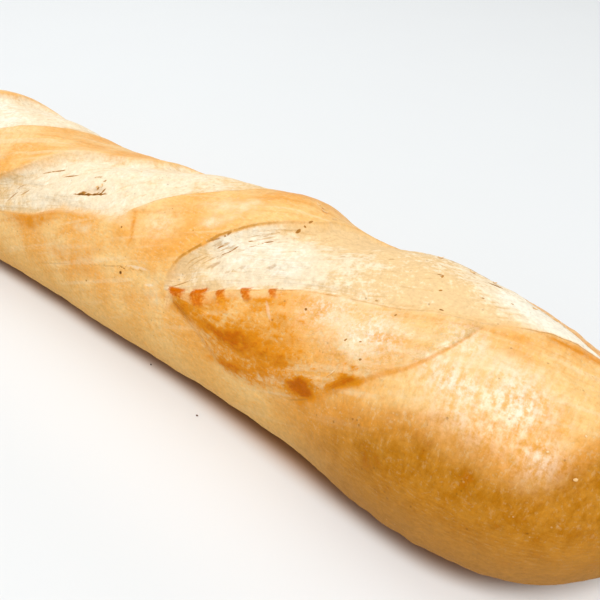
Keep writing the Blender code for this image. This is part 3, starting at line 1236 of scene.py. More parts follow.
    def grid(self) -> tuple[Array, Array]:
        """Station and angle of every point: the +X tip, the rings, the -X tip.

        Returns:
            The stations and the angles.
        """
        stations, angles = self.ring_stations(), self.ring_angles()
        station, angle = np.meshgrid(stations, angles, indexing="ij")
        station = np.concatenate([[0.0], station.ravel(), [self.form.length]])
        angle = np.concatenate([[0.0], angle.ravel(), [0.0]])
        return station, angle

    def build(self) -> bpy.types.Object:
        """Make the crust's object with its mesh, fields and material.

        Returns:
            The new object.
        """
        station, angle = self.grid()
        quads, triangles = closed_faces(self.rings, self.points_round)
        mesh = mesh_from_arrays("crust", self.surface(station, angle), quads, triangles)
        for name, values in self.fields(station, angle).items():
            layer = mesh.attributes.new(name.value, "FLOAT", "POINT")
            layer.data.foreach_set("value", values.astype(np.float32))
        mesh.materials.append(CrustFinish().build())
        return place_object(mesh)


def closed_faces(rings: int, points: int) -> tuple[Array, Array]:
    """Faces of a closed skin: four-sided between its rings, three-sided at its two tips.

    Args:
        rings: number of rings between the tips.
        points: points round each ring.

    Returns:
        The quads and the triangles, with corners running anticlockwise from outside, for a
        first tip, the rings in order and a last tip.
    """
    here = np.arange(rings - 1)[:, None] * points + np.arange(points)[None] + 1
    beside = np.arange(rings - 1)[:, None] * points
    beside = beside + (np.arange(points)[None] + 1) % points + 1
    quads = np.stack([here, here + points, beside + points, beside], axis=-1)
    first = np.arange(points) + 1
    second = (np.arange(points) + 1) % points + 1
    tip = np.zeros(points, dtype=int)
    last = (rings - 1) * points
    end = np.full(points, rings * points + 1)
    near_cap = np.stack([tip, first, second], axis=-1)
    far_cap = np.stack([end, second + last, first + last], axis=-1)
    return quads.reshape(-1, 4), np.concatenate([near_cap, far_cap])


def mesh_from_arrays(
    name: str, points: Array, quads: Array, triangles: Array
) -> bpy.types.Mesh:
    """Put arrays of points and faces into a new smooth-shaded mesh.

    Args:
        name: the mesh's name.
        points: one row of X, Y, Z for each point.
        quads, triangles: corner numbers of the faces.

    Returns:
        The mesh.
    """
    mesh = bpy.data.meshes.new(name)
    corners = np.concatenate([quads.ravel(), triangles.ravel()]).astype(np.int32)
    starts = np.arange(len(quads)) * 4
    later = len(quads) * 4 + np.arange(len(triangles)) * 3
    starts = np.concatenate([starts, later]).astype(np.int32)
    mesh.vertices.add(len(points))
    mesh.vertices.foreach_set("co", points.astype(np.float32).ravel())
    mesh.loops.add(len(corners))
    mesh.loops.foreach_set("vertex_index", corners)
    mesh.polygons.add(len(starts))
    mesh.polygons.foreach_set("loop_start", starts)
    mesh.update(calc_edges=True)
    mesh.validate()
    mesh.shade_smooth()
    return mesh


def place_object(mesh: bpy.types.Mesh) -> bpy.types.Object:
    """Link a new object at the origin for a mesh, named as the mesh is.

    Args:
        mesh: the mesh.

    Returns:
        The object.
    """
    made = bpy.data.objects.new(mesh.name, mesh)
    bpy.context.scene.collection.objects.link(made)
    return made


# ------------------------------------------------------------------------- flakes and crumbs


class BitLook(Enum):
    """What a loose bit is made of."""

    PALE = "pale_flake"
    DARK = "dark_crumb"


@dataclass(frozen=True)
class Bit:
    """One loose flake or crumb: a flattened, wavering and curled ball.

    Attributes:
        middle: its middle, in space.
        size: half its length, width and thickness.
        turn: degrees that its length is turned about its short axis.
        curl: rise of its ends, as a share of its half length.
    """

    middle: tuple[float, float, float]
    size: tuple[float, float, float]
    turn: float = 0.0
    curl: float = 0.3


@dataclass
class LooseBits:
    """Small flakes that lie on the crust, and crumbs on the table beside it.

    Attributes:
        skin: the crust they lie on.
        rings, points_round: size of each bit's grid.
        scattered: number of tiny flakes strewn at random.
        seed: seed of their places.
    """

    skin: CrustSkin
    rings: int = 7
    points_round: int = 12
    scattered: int = 5
    seed: int = 23

    def on_crust(
        self,
        station: float,
        angle: float,
        size: tuple[float, float, float],
        turn: float,
        curl: float = 0.3,
    ) -> Array:
        """Points of a flake that lies on the crust.

        The flake is laid out flat, then turned so that its short axis is the crust's normal.

        Args:
            station, angle: where it lies.
            size: half its length, width and thickness.
            turn: degrees from the loaf's length.
            curl: rise of its ends.

        Returns:
            Its points in space.
        """
        step = 1.0 * MM
        turn_step = step / ARC_PER_DEGREE
        places = np.array([station, station - step, station])
        turns = np.array([angle, angle, angle + turn_step])
        middle, along, around = self.skin.surface(places, turns)
        first = (along - middle) / np.linalg.norm(along - middle)
        up = np.cross(around - middle, first)
        up = up / np.linalg.norm(up)
        if up[2] < 0.0 and abs(angle) < 85:
            up = -up
        second = np.cross(up, first)
        flat = self.flat(Bit((0.0, 0.0, 0.0), size, turn, curl))
        lifted = middle + up * size[2] * 0.8
        return lifted + flat @ np.stack([first, second, up])

    def flat(self, bit: Bit) -> Array:
        """Points of a bit that lies level.

        A ball's grid is scaled to the bit's size, its outline wavers by a fifth, and the
        height gains curl * half length * (place along it) squared.

        Args:
            bit: the bit.

        Returns:
            Its points in space.
        """
        down = np.arange(1, self.rings + 1)[:, None] * math.pi / (self.rings + 1)
        turn = np.arange(self.points_round)[None] * 2 * math.pi / self.points_round
        down = np.broadcast_to(down, (self.rings, self.points_round)).ravel()
        turn = np.broadcast_to(turn, (self.rings, self.points_round)).ravel()
        down = np.concatenate([[0.0], down, [math.pi]])
        turn = np.concatenate([[0.0], turn, [0.0]])
        noise = self.skin.noise
        key = (bit.middle[0] + bit.size[0] * 37.0 + bit.turn * MM) / MM
        waver = 1.0 + 0.22 * noise.layered(np.cos(turn) * 1.7 + key, np.sin(turn) * 1.7, key)
        x = np.sin(down) * np.cos(turn) * waver
        y = np.sin(down) * np.sin(turn) * waver
        z = np.cos(down) * bit.size[2] + bit.curl * bit.size[0] * x * x
        lean = math.radians(bit.turn)
        x, y = x * bit.size[0], y * bit.size[1]
        across = x * math.cos(lean) - y * math.sin(lean)
        along = x * math.sin(lean) + y * math.cos(lean)
        return np.stack([across, along, z], axis=-1) + np.array(bit.middle)

    def strewn(self) -> list[Array]:
        """Tiny flakes at random places over the upper crust.

        Returns:
            The points of each flake.
        """
        draw = np.random.default_rng(self.seed)
        bits = []
        for _ in range(self.scattered):
            station = draw.uniform(0.015, 0.430)
            angle = draw.uniform(-70, 75)
            length = draw.uniform(0.20, 0.42) * MM
            size = (length, length * draw.uniform(0.4, 0.8), 0.07 * MM)
            bits.append(self.on_crust(station, angle, size, draw.uniform(0, 180)))
        return bits

    def join(self, look: BitLook, bits: list[Array]) -> bpy.types.Object:
        """Put bits of one kind into one object.

        Args:
            look: what they are made of.
            bits: the points of each.

        Returns:
            The new object.
        """
        quads, triangles = closed_faces(self.rings, self.points_round)
        starts = np.arange(len(bits))[:, None, None] * len(bits[0])
        quads = (quads[None] + starts).reshape(-1, 4)
        triangles = (triangles[None] + starts).reshape(-1, 3)
        mesh = mesh_from_arrays(look.value, np.concatenate(bits), quads, triangles)
        mesh.materials.append(BitFinish(look).build())
        return place_object(mesh)

    def build(self) -> list[bpy.types.Object]:
        """Make the flakes and the crumbs.

        Returns:
            One object for each look.
        """
        pale = self.strewn()
        for station, angle, length, width, turn, curl in FLAKES:
            size = (length * MM, width * MM, 0.09 * MM)
            pale.append(self.on_crust(station, angle, size, turn, curl))
        dark = []
        for x, y, half in CRUMBS:
            dark.append(self.flat(Bit((x, y, half * 0.7), (half, half * 0.8, half * 0.7))))
        return [self.join(BitLook.PALE, pale), self.join(BitLook.DARK, dark)]


# Station, angle, half length and half width in mm, turn and curl of the larger flakes.
FLAKES: Rows = (
    (0.1116, -17.5, 1.10, 0.40, 30, 0.5),
    (0.1135, -20.0, 0.80, 0.35, 80, 0.6),
    (0.1158, -20.5, 0.90, 0.30, 10, 0.4),
    (0.1076, -17.0, 0.60, 0.30, 50, 0.5),
    (0.0764, 56.0, 1.70, 0.17, 66, 0.1),
    (0.0206, 43.6, 0.55, 0.36, 20, 0.2),
    (0.0270, 38.0, 0.35, 0.25, 20, 0.2),
    (0.0745, -26.0, 0.90, 0.35, 20, 0.5),
    (0.0640, -22.0, 1.10, 0.40, 10, 0.5),
    (0.0580, -24.0, 0.70, 0.30, 60, 0.5),
    (0.0460, -22.0, 0.80, 0.30, 30, 0.4),
    (0.1840, 27.5, 0.80, 0.50, 70, 0.6),
    (0.1855, 29.0, 0.60, 0.40, 20, 0.5),
)

# X, Y and half size of the crumbs on the table.
CRUMBS: Rows = (
    (0.0703, -0.0250, 0.00030),
    (0.1004, -0.0315, 0.00034),
    (0.1400, 0.0350, 0.00035),
    (-0.0600, 0.0310, 0.00032),
    (-0.1300, -0.0330, 0.00030),
)


# ------------------------------------------------------------------------------ shader wiring


class Wire:
    """An output socket with arithmetic: each operation adds a Math node."""

    def __init__(self, graph: "Graph", socket: bpy.types.NodeSocket) -> None:
        """Wrap a socket.

        Args:
            graph: the graph that holds the socket's node.
            socket: the output socket.
        """
        self.graph = graph
        self.socket = socket

    def _math(self, operation: str, *values: "Wire | float") -> "Wire":
        """Add a Math node that works on the given values."""
        return self.graph.node("ShaderNodeMath", {"operation": operation}, list(values))

    def __add__(self, other: "Wire | float") -> "Wire":
        """self + other."""
        return self._math("ADD", self, other)

    def __radd__(self, other: float) -> "Wire":
        """other + self."""
        return self._math("ADD", other, self)

    def __sub__(self, other: "Wire | float") -> "Wire":
        """self - other."""
        return self._math("SUBTRACT", self, other)

    def __rsub__(self, other: float) -> "Wire":
        """other - self."""
        return self._math("SUBTRACT", other, self)

    def __mul__(self, other: "Wire | float") -> "Wire":
        """self * other."""
        return self._math("MULTIPLY", self, other)

    def __rmul__(self, other: float) -> "Wire":
        """other * self."""
        return self._math("MULTIPLY", other, self)

    def __truediv__(self, other: "Wire | float") -> "Wire":
        """self / other."""
        return self._math("DIVIDE", self, other)

    def __pow__(self, other: float) -> "Wire":
        """self ** other."""
        return self._math("POWER", self, other)

    def absolute(self) -> "Wire":
        """The value without its sign."""
        return self._math("ABSOLUTE", self)

    def at_least(self, other: "Wire | float") -> "Wire":
        """The larger of the two."""
        return self._math("MAXIMUM", self, other)

    def ramp(self, low: "Wire | float", high: "Wire | float") -> "Wire":
        """0 at low and 1 at high with an S curve between; low may be the larger.

        Args:
            low, high: the values at which it starts and ends.

        Returns:
            The share.
        """
        names = {"Value": self, "From Min": low, "From Max": high}
        settings = {"interpolation_type": "SMOOTHSTEP"}
        return self.graph.node("ShaderNodeMapRange", settings, names)


class Graph:
    """The nodes of a material or of the world."""

    def __init__(self, owner: bpy.types.Material | bpy.types.World) -> None:
        """Start with no nodes.

        Args:
            owner: the material or world that they belong to.
        """
        owner.use_nodes = True
        self.owner = owner
        self.tree = owner.node_tree
        self.tree.nodes.clear()

    def node(
        self,
        kind: str,
        settings: dict[str, object],
        values: "dict[str, object] | list[object]",
        output: str | int = 0,
    ) -> Wire:
        """Add any node.

        Args:
            kind: the node's type.
            settings: its settings, set before its sockets.
            values: values or links of its input sockets, by name or in order.
            output: the output socket to return.

        Returns:
            That output.
        """
        node = self.tree.nodes.new(kind)
        for key, value in settings.items():
            setattr(node, key, value)
        pairs = values.items() if isinstance(values, dict) else enumerate(values)
        for key, value in pairs:
            if isinstance(value, Wire):
                self.tree.links.new(value.socket, node.inputs[key])
            else:
                node.inputs[key].default_value = value
        return Wire(self, node.outputs[output] if node.outputs else None)

    def field(self, name: CrustField) -> Wire:
        """Read one of the crust's numbers from the mesh."""
        settings = {"attribute_name": name.value, "attribute_type": "GEOMETRY"}
        return self.node("ShaderNodeAttribute", settings, {}, "Fac")

    def place(self, kind: str = "Object") -> Wire:
        """The surface point in the object's own coordinates, in metres, or another place."""
        return self.node("ShaderNodeTexCoord", {}, {}, kind)

    def part(self, vector: Wire, axis: str) -> Wire:
        """The X, Y or Z part of a vector."""
        return self.node("ShaderNodeSeparateXYZ", {}, [vector], axis)

    def vector(self, x: Wire | float, y: Wire | float, z: Wire | float = 0.0) -> Wire:
        """Join three numbers into a vector."""
        return self.node("ShaderNodeCombineXYZ", {}, [x, y, z])

    def noise(
        self, vector: Wire, scale: float, detail: float = 2.0, roughness: float = 0.5
    ) -> Wire:
        """Noise from about 0.2 to 0.8 around 0.5.

        Args:
            vector: where to read it.
            scale: cells for each unit of the vector.
            detail: number of finer layers.
            roughness: how strong those are.

        Returns:
            The noise's value.
        """
        values = {"Vector": vector, "Scale": scale, "Detail": detail, "Roughness": roughness}
        return self.node("ShaderNodeTexNoise", {"noise_dimensions": "3D"}, values, "Fac")

    def cells(self, vector: Wire, scale: float) -> Wire:
        """Distance to the nearest of scattered points, one for each cell.

        Args:
            vector: where to read it.
            scale: cells for each unit of the vector.

        Returns:
            The distance, in cells.
        """
        values = {"Vector": vector, "Scale": scale}
        settings = {"voronoi_dimensions": "3D", "feature": "F1"}
        return self.node("ShaderNodeTexVoronoi", settings, values, "Distance")

    def blend(self, share: Wire | float, low: "Wire | Colour", high: "Wire | Colour") -> Wire:
        """Mix two colours: low where the share is 0 and high where it is 1."""
        settings = {"data_type": "RGBA", "clamp_factor": True}
        return self.node("ShaderNodeMix", settings, {0: share, 6: low, 7: high}, 2)

    def bump(self, height: Wire, strength: float) -> Wire:
        """A normal tilted by a height in millimetres."""
        values = {"Strength": strength, "Distance": MM, "Height": height}
        return self.node("ShaderNodeBump", {}, values)

    def principled(self, values: dict[str, object]) -> bpy.types.Material:
        """Finish the material with a Principled shader that has these values."""
        return self.finish(self.node("ShaderNodeBsdfPrincipled", {}, values))

    def finish(
        self, shader: Wire, kind: str = "ShaderNodeOutputMaterial"
    ) -> bpy.types.Material | bpy.types.World:
        """Link the shader to an output node.

        Args:
            shader: the surface shader or the background.
            kind: the output node's type.

        Returns:
            The owner of the nodes.
        """
        self.node(kind, {}, {"Surface": shader})
        return self.owner


# ---------------------------------------------------------------------------------- finishes


@dataclass(frozen=True)
class CrustFinish:
    """Golden baked crust, browned edges and pale opened dough, in one material.

    Attributes:
        gold, light_gold, pale_gold: the smooth crust, from deep to stretched thin.
        light_toast, toast: the low crust near the fuller end.
        tan, deep_tan: the flank near the table, and the same near the fuller end.
        underside_and_contact_shade: the lowest crust, browned where the loaf lay while it baked,
            and darkened as painted shade where the loaf meets the table.
        amber, chestnut: light and deep browning.
        ember, honey: the teeth of the flap's edge, and their lighter feet.
        ivory, cream, beige: the opened dough, from whitest to darkest.
        straw: shaded lines in the dough.
        seam, hollow: inside of shallow slits and of holes and pores, brown with painted shade.
        fleck_and_highlight: tiny pale flakes and creases, and the net of the painted highlights.
        strength: share of the colours' brightness that is kept.
        clouds, mottle, fine, grain: cells of each noise for every metre, coarse to fine.
        pores, flecks: the same for the scattered dark and pale specks.
    """

    gold: Colour = tone(246, 176, 84)
    light_gold: Colour = tone(250, 202, 128)
    pale_gold: Colour = tone(252, 222, 172)
    light_toast: Colour = tone(202, 135, 38)
    toast: Colour = tone(178, 110, 3)
    tan: Colour = tone(231, 182, 108)
    deep_tan: Colour = tone(188, 132, 62)
    underside_and_contact_shade: Colour = tone(168, 112, 56)
    amber: Colour = tone(227, 142, 24)
    chestnut: Colour = tone(196, 102, 0)
    ember: Colour = tone(218, 112, 0)
    honey: Colour = tone(240, 156, 40)
    ivory: Colour = tone(254, 244, 222)
    cream: Colour = tone(250, 230, 196)
    beige: Colour = tone(243, 207, 153)
    straw: Colour = tone(210, 156, 82)
    seam: Colour = tone(186, 128, 56)
    hollow: Colour = tone(98, 60, 18)
    fleck_and_highlight: Colour = tone(255, 243, 222)
    strength: float = 0.86
    clouds: float = 55
    mottle: float = 210
    fine: float = 620
    grain: float = 1300
    pores: float = 420
    flecks: float = 560

    def build(self) -> bpy.types.Material:
        """Wire the material.

        Returns:
            The crust's material.
        """
        graph = Graph(bpy.data.materials.new("baked_crust"))
        place = graph.place()
        station, around = graph.field(CrustField.STATION), graph.field(CrustField.ROUND)
        inside, soft = graph.field(CrustField.INSIDE), graph.field(CrustField.SOFT)
        flow, flap = graph.field(CrustField.FLOW), graph.field(CrustField.FLAP)
        nose, highlight_and_blister = graph.field(CrustField.NOSE), graph.field(CrustField.HIGHLIGHT_AND_BLISTER)
        baked = graph.field(CrustField.BAKED)
        height = graph.part(place, "Z")

        clouds = graph.noise(place, self.clouds, 3, 0.55)
        mottle = graph.noise(place, self.mottle, 4, 0.6)
        fine = graph.noise(place, self.fine, 3, 0.6)
        grain = graph.noise(place, self.grain, 3, 0.6)
        wrinkle = graph.noise(graph.vector(station / 1.2, around / 3.4), 1.0, 4, 0.6)
        dash = graph.noise(graph.vector(station / 2.6, around / 0.8, 9.0), 1.0, 3, 0.6)
        flow_line = graph.vector(flow / 0.9, around / 7.0, station / 40.0)
        strand = graph.noise(flow_line, 1.0, 4, 0.62)
        flap_flow = graph.vector(graph.field(CrustField.FLAP_FLOW) / 1.5, station / 4.5, 5.0)
        flap_grain = graph.noise(flap_flow, 1.0, 4, 0.65)

        # Where the crust opened, with a ragged edge.
        ragged = (mottle - 0.5) * 1.1 + (grain - 0.5) * 0.9
        opened = self._edge(inside + ragged * (soft * 0.7 + 0.25), soft)
        closed = 1.0 - opened

        # Plain crust: gold with slanting sweeps, tan low down, and browner underneath, which is
        # also painted shade where the loaf meets the table.
        crust = graph.blend(clouds.ramp(0.36, 0.62), self.gold, self.light_gold)
        across = (station - around * 2.2) / 9.0
        sweep = graph.noise(graph.vector(across, around / 26.0, 6.0), 1.0, 3, 0.55)
        crust = graph.blend(sweep.ramp(0.52, 0.68) * 0.35, crust, self.amber)
        crust = graph.blend(sweep.ramp(0.46, 0.34) * 0.45, crust, self.pale_gold)
        low = (height + (clouds - 0.5) * 0.012).ramp(0.034, 0.015)
        crust = graph.blend(low * 0.75, crust, self.tan)
        # Browner underside, also painted shade near the table.
        underside_shade = (height + (mottle - 0.5) * 0.004).ramp(0.0065, 0.0030)
        crust = graph.blend(underside_shade, crust, self.underside_and_contact_shade)
        # Toasted crust of the two ends, with a warm border.
        toasted = graph.field(CrustField.TOAST)
        toasted = (toasted * 1.05 + (mottle - 0.5) * 0.6 * toasted).ramp(0.0, 1.0)
        lines = wrinkle * nose + dash * (1.0 - nose)
        freckled = (mottle * 0.35 + lines * 0.35 + fine * 0.30).ramp(0.40, 0.62)
        deep = graph.blend(freckled, self.light_toast, self.toast)
        deep = graph.blend(mottle.ramp(0.60, 0.74) * 0.3, deep, self.chestnut)
        deep = graph.blend(low, deep, self.deep_tan)
        crust = graph.blend(toasted, crust, graph.blend(underside_shade, deep, self.underside_and_contact_shade))
        turning = toasted.ramp(0.0, 0.4) * toasted.ramp(1.0, 0.5) * (1.0 - low)
        crust = graph.blend(turning * 0.34, crust, self.amber)
        # Darker and paler specks, then the baked patches with their streaks.
        speck = lines * 0.5 + grain * 0.5
        darker = speck.ramp(0.51, 0.62) * (1.0 - toasted)
        crust = graph.blend(darker * 0.34, crust, self.amber)
        paler = speck.ramp(0.48, 0.38) * (1.0 - low) * (1.0 - toasted * 0.7)
        crust = graph.blend(paler * 0.40, crust, self.pale_gold)
        streaks = (mottle - 0.5) * 0.8 + (flap_grain - 0.5) * 0.9 * flap
        streaks = streaks + (fine - 0.5) * (0.5 + flap * 0.5) + (grain - 0.5) * flap * 0.5
        browned = baked + streaks * (baked.absolute() + flap * 0.3).ramp(0.04, 0.35)
        crust = graph.blend(browned.ramp(-0.05, -0.60), crust, self.pale_gold)
        crust = graph.blend(browned.ramp(0.00, 0.56), crust, self.amber)
        crust = graph.blend(browned.ramp(0.42, 1.10), crust, self.chestnut)
        # Painted highlight: a pale net of short streaks over the highlight patches, where the
        # skin is also thin and shiny.
        sway = around + (mottle - 0.5) * 6.0
        streak_place = graph.vector(station / 1.5 + sway / 9.0, sway / 6.0, 2.0)
        streak = graph.noise(streak_place, 1.0, 4, 0.6) * nose + lines * (1.0 - nose)
        pattern = (streak * 0.44 + fine * 0.28 + grain * 0.28) * (1.0 - flap)
        pattern = pattern + (fine * 0.45 + grain * 0.55 - 0.02) * flap
        highlight_net = pattern.ramp(0.40, 0.60) * highlight_and_blister * (1.0 - browned.ramp(0.10, 0.45))
        highlight_net = highlight_net * (1.0 - toasted * 0.55)
        crust = graph.blend(highlight_net * 0.78, crust, self.fleck_and_highlight)

        # Opened dough: beige, cream and ivory, with shaded strands.
        level = graph.field(CrustField.TONE) + (clouds - 0.5) * 1.4 + (mottle - 0.5) * 1.6
        level = level + (strand - 0.5) * 1.2 + (fine - 0.5) * 1.0 + 0.10
        grainy = station.ramp(99.0, 74.0) * station.ramp(48.0, 62.0)
        level = level + grainy * ((grain - 0.5) * 1.6 + (fine - 0.5) * 0.4 - 0.34)
        dough = graph.blend(level.ramp(-0.75, 0.10), self.beige, self.cream)
        dough = graph.blend(level.ramp(0.10, 0.80), dough, self.ivory)
        dough = graph.blend(strand.ramp(0.40, 0.30) * 0.35, dough, self.straw)
        striae_place = graph.vector(graph.field(CrustField.FAR_DEPTH) / 0.62, around / 5.0, 3.0)
        striae = graph.noise(striae_place, 1.0, 3, 0.55).ramp(0.46, 0.36)
        striae = striae * graph.field(CrustField.STRIAE)
        dough = graph.blend(striae * 0.60, dough, self.straw)
        surface = self._teeth(graph, graph.blend(opened, crust, dough), mottle, grain)

        # Brown lines along the edges of the scores and of the flap.
        line = (inside + 0.35 + ragged * 0.25).absolute().ramp(0.40, 0.08)
        line = line * graph.field(CrustField.LINE) * mottle.ramp(0.32, 0.50)
        flap_line = (graph.field(CrustField.FLAP_EDGE) + ragged * 0.4).absolute()
        flap_line = flap_line.ramp(0.80, 0.10) * graph.field(CrustField.FLAP_LINE)
        surface = graph.blend(line * 0.80, surface, self.light_toast)
        surface = graph.blend(flap_line * 0.55, surface, self.amber)

        # Tears, pores and flecks, then a fine unevenness over all of it; the dark of tears and
        # pores is painted shade inside them, with their brown.
        along = graph.field(CrustField.TEAR_LINE)
        aside = graph.field(CrustField.TEAR_SIDE) + (grain - 0.5) * 0.8
        tear = (along * along + aside * aside).ramp(1.40, 0.30)
        tear = tear * graph.field(CrustField.TEAR_NEAR).ramp(2.8, 1.7)
        tear = tear * graph.field(CrustField.TEAR_SHADE)
        surface = graph.blend(tear.ramp(0.0, 0.5), surface, self.seam)
        surface = graph.blend(tear.ramp(0.45, 1.1), surface, self.hollow)
        surface = graph.blend(tear * -1.0, surface, self.fleck_and_highlight)
        pores = graph.cells(place, self.pores).ramp(0.15, 0.07) * mottle.ramp(0.53, 0.60)
        surface = graph.blend(pores * 0.35, surface, self.hollow)
        flecks = graph.cells(place, self.flecks).ramp(0.18, 0.09) * clouds.ramp(0.50, 0.60)
        flecks = flecks * mottle.ramp(0.49, 0.57)
        surface = graph.blend(flecks * 0.30, surface, self.pale_gold)
        shade = (0.62 + fine * 0.42 + grain * 0.34) * self.strength
        grey = graph.node("ShaderNodeCombineColor", {}, [shade, shade, shade])
        settings = {"data_type": "RGBA", "blend_type": "MULTIPLY"}
        colour = graph.node("ShaderNodeMix", settings, {0: 1.0, 6: surface, 7: grey}, 2)

        # Bump, in millimetres.
        bump = (wrinkle - 0.5) * (0.10 + nose * 0.34) * closed
        bump = bump + (dash - 0.5) * 0.16 * closed * (1.0 - nose) + (grain - 0.5) * 0.10
        bump = bump + (fine - 0.5) * (0.20 + 0.16 * highlight_and_blister + 0.16 * flap)
        bump = bump + (strand - 0.5) * 0.34 * opened - striae * 0.08
        bump = bump + (flap_grain - 0.5) * 0.40 * flap
        bump = bump - tear.absolute() * 0.06 - pores * 0.08 - line * 0.15 - flap_line * 0.05

        # Gloss and roughness.
        gloss = graph.field(CrustField.GLOSS) * closed * (1.0 - low)
        gloss = gloss * (1.0 - toasted * 0.9) * (1.0 - browned.ramp(0.1, 0.5) * 0.9)
        gloss = gloss * pattern.ramp(0.38, 0.58)
        rough = closed * (0.50 + (mottle - 0.5) * 0.25 + low * 0.2)
        rough = rough + opened * (0.75 + (strand - 0.5) * 0.3)
        values = {
            "Base Color": colour,
            "Roughness": rough,
            "Normal": graph.bump(bump, 1.0),
            "Coat Weight": gloss * 0.6,
            "Coat Roughness": 0.3,
            "Metallic": 0.0,
            "Specular IOR Level": 0.04,
        }
        return graph.principled(values)

    def _teeth(self, graph: Graph, surface: Wire, mottle: Wire, grain: Wire) -> Wire:
        """Paint the browned teeth of the flap's torn edge, and the pale gaps between them.

        Args:
            graph: the material's nodes.
            surface: the colour so far.
            mottle, grain: the coarser and the finer noise.

        Returns:
            The colour with the teeth.
        """
        below, toothed = graph.field(CrustField.RIDGE), graph.field(CrustField.TOOTHED)
        away = graph.field(CrustField.TOOTH) + (grain - 0.5) * 1.2 + below * 0.08
        length = 5.0 + (mottle - 0.5) * 4.0 + (grain - 0.5) * 3.0
        tooth = away.ramp(1.30, 0.55) * toothed * (below - length).ramp(1.4, -2.2)
        rise = graph.field(CrustField.STATION).ramp(119.0, 125.0) * 1.1 + 0.3
        tooth = tooth * (below + rise + (mottle - 0.5) * 1.6).ramp(-0.4, 0.4)
        tooth = tooth * graph.field(CrustField.FAR_DEPTH).ramp(0.3, 1.2)
        gap = (1.0 - tooth) * toothed * (below + (mottle - 0.5) * 2.0).ramp(3.8, 1.6)
        gap = gap * below.ramp(-0.1, 0.3)
        surface = graph.blend(gap * 0.30, surface, self.pale_gold)
        glow = ((mottle + grain - 1.0) * 4.0 + below * 0.5).ramp(0.2, 2.4)
        return graph.blend(tooth, surface, graph.blend(glow, self.ember, self.honey))

    @staticmethod
    def _edge(distance: Wire, softness: Wire) -> Wire:
        """0 to 1 across an edge, from one softness outside to one softness inside."""
        return distance.ramp(softness * -1.0, softness)


@dataclass(frozen=True)
class BitFinish:
    """Papery pale flakes, or well baked dark crumbs.

    Attributes:
        look: which of the two.
    """

    look: BitLook

    def build(self) -> bpy.types.Material:
        """Wire the material.

        Returns:
            The bits' material.
        """
        pale = self.look is BitLook.PALE
        graph = Graph(bpy.data.materials.new(self.look.value + "_crust"))
        cloud = graph.noise(graph.place(), 900, 2, 0.5)
        low = tone(222, 172, 104) if pale else tone(112, 66, 24)
        high = tone(238, 206, 156) if pale else tone(66, 40, 18)
        colour = graph.blend(cloud.ramp(0.35, 0.65), low, high)
        normal = graph.bump(cloud * 0.2, 0.6)
        values = {"Base Color": colour, "Roughness": 0.6, "Normal": normal}
        return graph.principled(values)


@dataclass(frozen=True)
class TableFinish:
    """Plain pale table top, with a painted warm shadow under the loaf and painted bounced light
    beside it.

    Attributes:
        white, cloudy: its colour, and the same in soft clouds.
        painted_bounce_white: a lighter white beside the loaf, as painted bounced light.
        painted_warm_shadow: the colour of the painted shadow close to where the loaf touches the
            table.
        reach: distances from the loaf's middle line where the painted shadow is strongest and
            where it ends.
        widening: how much wider the painted shadow is beside the fuller end.
        end: how far along X from the middle that line runs.
    """

    white: Colour = tone(219, 222, 223)
    cloudy: Colour = tone(216, 218, 219)
    painted_bounce_white: Colour = tone(231, 232, 232)
    painted_warm_shadow: Colour = tone(172, 129, 86)
    reach: tuple[float, float] = (0.0190, 0.0295)
    widening: float = 0.0045
    end: float = 0.178

    def build(self) -> bpy.types.Material:
        """Wire the material.

        Returns:
            The table's material.
        """
        graph = Graph(bpy.data.materials.new("pale_table"))
        place = graph.place()
        cloud = graph.noise(place, 14, 2, 0.5)
        colour = graph.blend(cloud * 0.4, self.white, self.cloudy)
        along = (graph.part(place, "X").absolute() - self.end).at_least(0.0)
        aside = graph.part(place, "Y")
        away = (along * along + aside * aside) ** 0.5
        # Painted bounced light: a lighter white beside the loaf.
        colour = graph.blend(away.ramp(0.085, 0.035), colour, self.painted_bounce_white)
        # Painted warm shadow under the loaf, where it touches the table.
        near, far = self.reach
        wider = graph.part(place, "X").ramp(0.07, 0.16)
        painted_shadow_share = (away - wider * self.widening).ramp(far, near)
        colour = graph.blend(painted_shadow_share, colour, self.painted_warm_shadow)
        values = {"Base Color": colour, "Roughness": 0.6}
        return graph.principled(values)


# ------------------------------------------------------------------------------------ studio


@dataclass(frozen=True)
class SoftLight:
    """A square soft light.

    Attributes:
        name: its name.
        place: its position.
        side: its side.
        power: its power in watts.
    """

    name: str
    place: tuple[float, float, float]
    side: float
    power: float


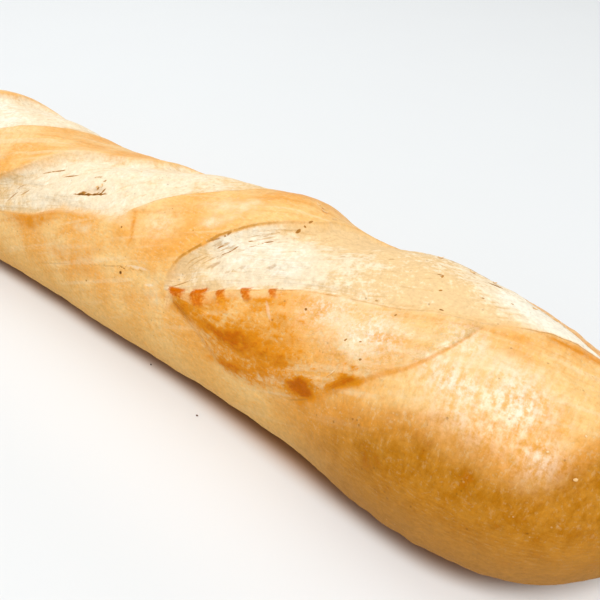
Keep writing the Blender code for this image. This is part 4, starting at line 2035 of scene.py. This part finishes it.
@dataclass(frozen=True)
class Studio:
    """Floor, soft light and the photograph's camera.

    Attributes:
        camera_place: the camera's position.
        camera_azimuth: degrees from +Y towards -X.
        camera_pitch: degrees below level.
        lens, sensor: focal length and width of the sensor, in millimetres.
        floor_half: half the floor's side.
        world_dim, world_bright: strength of the surrounding low down and overhead.
        lights: a soft light overhead and a weaker one from behind.
        aim: where they point, in the loaf's near half.
    """

    camera_place: tuple[float, float, float] = (0.2185, -0.1222, 0.146)
    camera_azimuth: float = 40.0
    camera_pitch: float = 35.0
    lens: float = 39.0
    sensor: float = 36.0
    floor_half: float = 3.0
    world_dim: float = 0.52
    world_bright: float = 0.72
    lights: tuple[SoftLight, ...] = (
        SoftLight("key", (0.76, -0.84, 2.23), 0.80, 37.0),
        SoftLight("back_sheen", (-0.70, 0.35, 0.85), 0.8, 2.8),
    )
    aim: tuple[float, float, float] = (0.12, 0.0, 0.03)

    def add_floor(self) -> bpy.types.Object:
        """A flat square under the loaf.

        Returns:
            The floor's object.
        """
        half = self.floor_half
        corners = ((-half, -half), (half, -half), (half, half), (-half, half))
        points = np.array([[x, y, 0] for x, y in corners])
        quads = np.array([[0, 1, 2, 3]])
        mesh = mesh_from_arrays("table_top", points, quads, np.empty((0, 3), dtype=int))
        mesh.materials.append(TableFinish().build())
        floor = place_object(mesh)
        return floor

    def add_camera(self) -> None:
        """The camera, at the photograph's viewing angle."""
        data = bpy.data.cameras.new("photo_camera")
        data.lens = self.lens
        data.sensor_width = self.sensor
        data.clip_start = 0.01
        camera = bpy.data.objects.new("photo_camera", data)
        camera.location = self.camera_place
        tilt = math.radians(90.0 - self.camera_pitch)
        camera.rotation_euler = (tilt, 0.0, math.radians(self.camera_azimuth))
        bpy.context.scene.collection.objects.link(camera)
        bpy.context.scene.camera = camera

    def add_soft_light(self, soft: SoftLight) -> None:
        """Hang one soft light so that it points at the aim.

        Args:
            soft: the light's sizes.
        """
        data = bpy.data.lights.new(soft.name, "AREA")
        data.size = soft.side
        data.energy = soft.power
        light = bpy.data.objects.new(soft.name, data)
        light.location = soft.place
        aim = np.array(self.aim) - np.array(soft.place)
        flat = math.hypot(aim[0], aim[1])
        light.rotation_euler = (math.atan2(flat, -aim[2]), 0.0, math.atan2(-aim[0], aim[1]))
        bpy.context.scene.collection.objects.link(light)

    def add_light(self) -> None:
        """The soft lights and a white surrounding.

        The surrounding is dimmer near the horizon: dim + (bright - dim) * an S curve of the
        direction's height.
        """
        for soft in self.lights:
            self.add_soft_light(soft)
        graph = Graph(bpy.data.worlds.new("white_room"))
        upward = graph.part(graph.place("Generated"), "Z")
        gain = self.world_bright - self.world_dim
        strength = upward.ramp(-0.2, 1.0) * gain + self.world_dim
        values = {"Color": (1.0, 1.0, 1.0, 1.0), "Strength": strength}
        back = graph.node("ShaderNodeBackground", {}, values)
        bpy.context.scene.world = graph.finish(back, "ShaderNodeOutputWorld")

    def build(self) -> None:
        """Make the floor, the camera and the lights, and show colours as they are."""
        self.add_floor()
        self.add_camera()
        self.add_light()
        bpy.context.scene.view_settings.view_transform = "Standard"


def main() -> None:
    """Build every piece in order."""
    logging.basicConfig(level=logging.INFO, format="%(name)s: %(message)s")
    skin = CrustSkin(LoafForm())
    crust = skin.build()
    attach(crust, "root")
    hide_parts("loaf")
    LOG.info("crust has %d points", len(crust.data.vertices))
    for bits in LooseBits(skin).build():
        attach(bits, "root")
        LOG.info("%s has %d points", bits.name, len(bits.data.vertices))
    Studio().build()
    LOG.info("studio is ready")


if __name__ == "__main__":
    main()
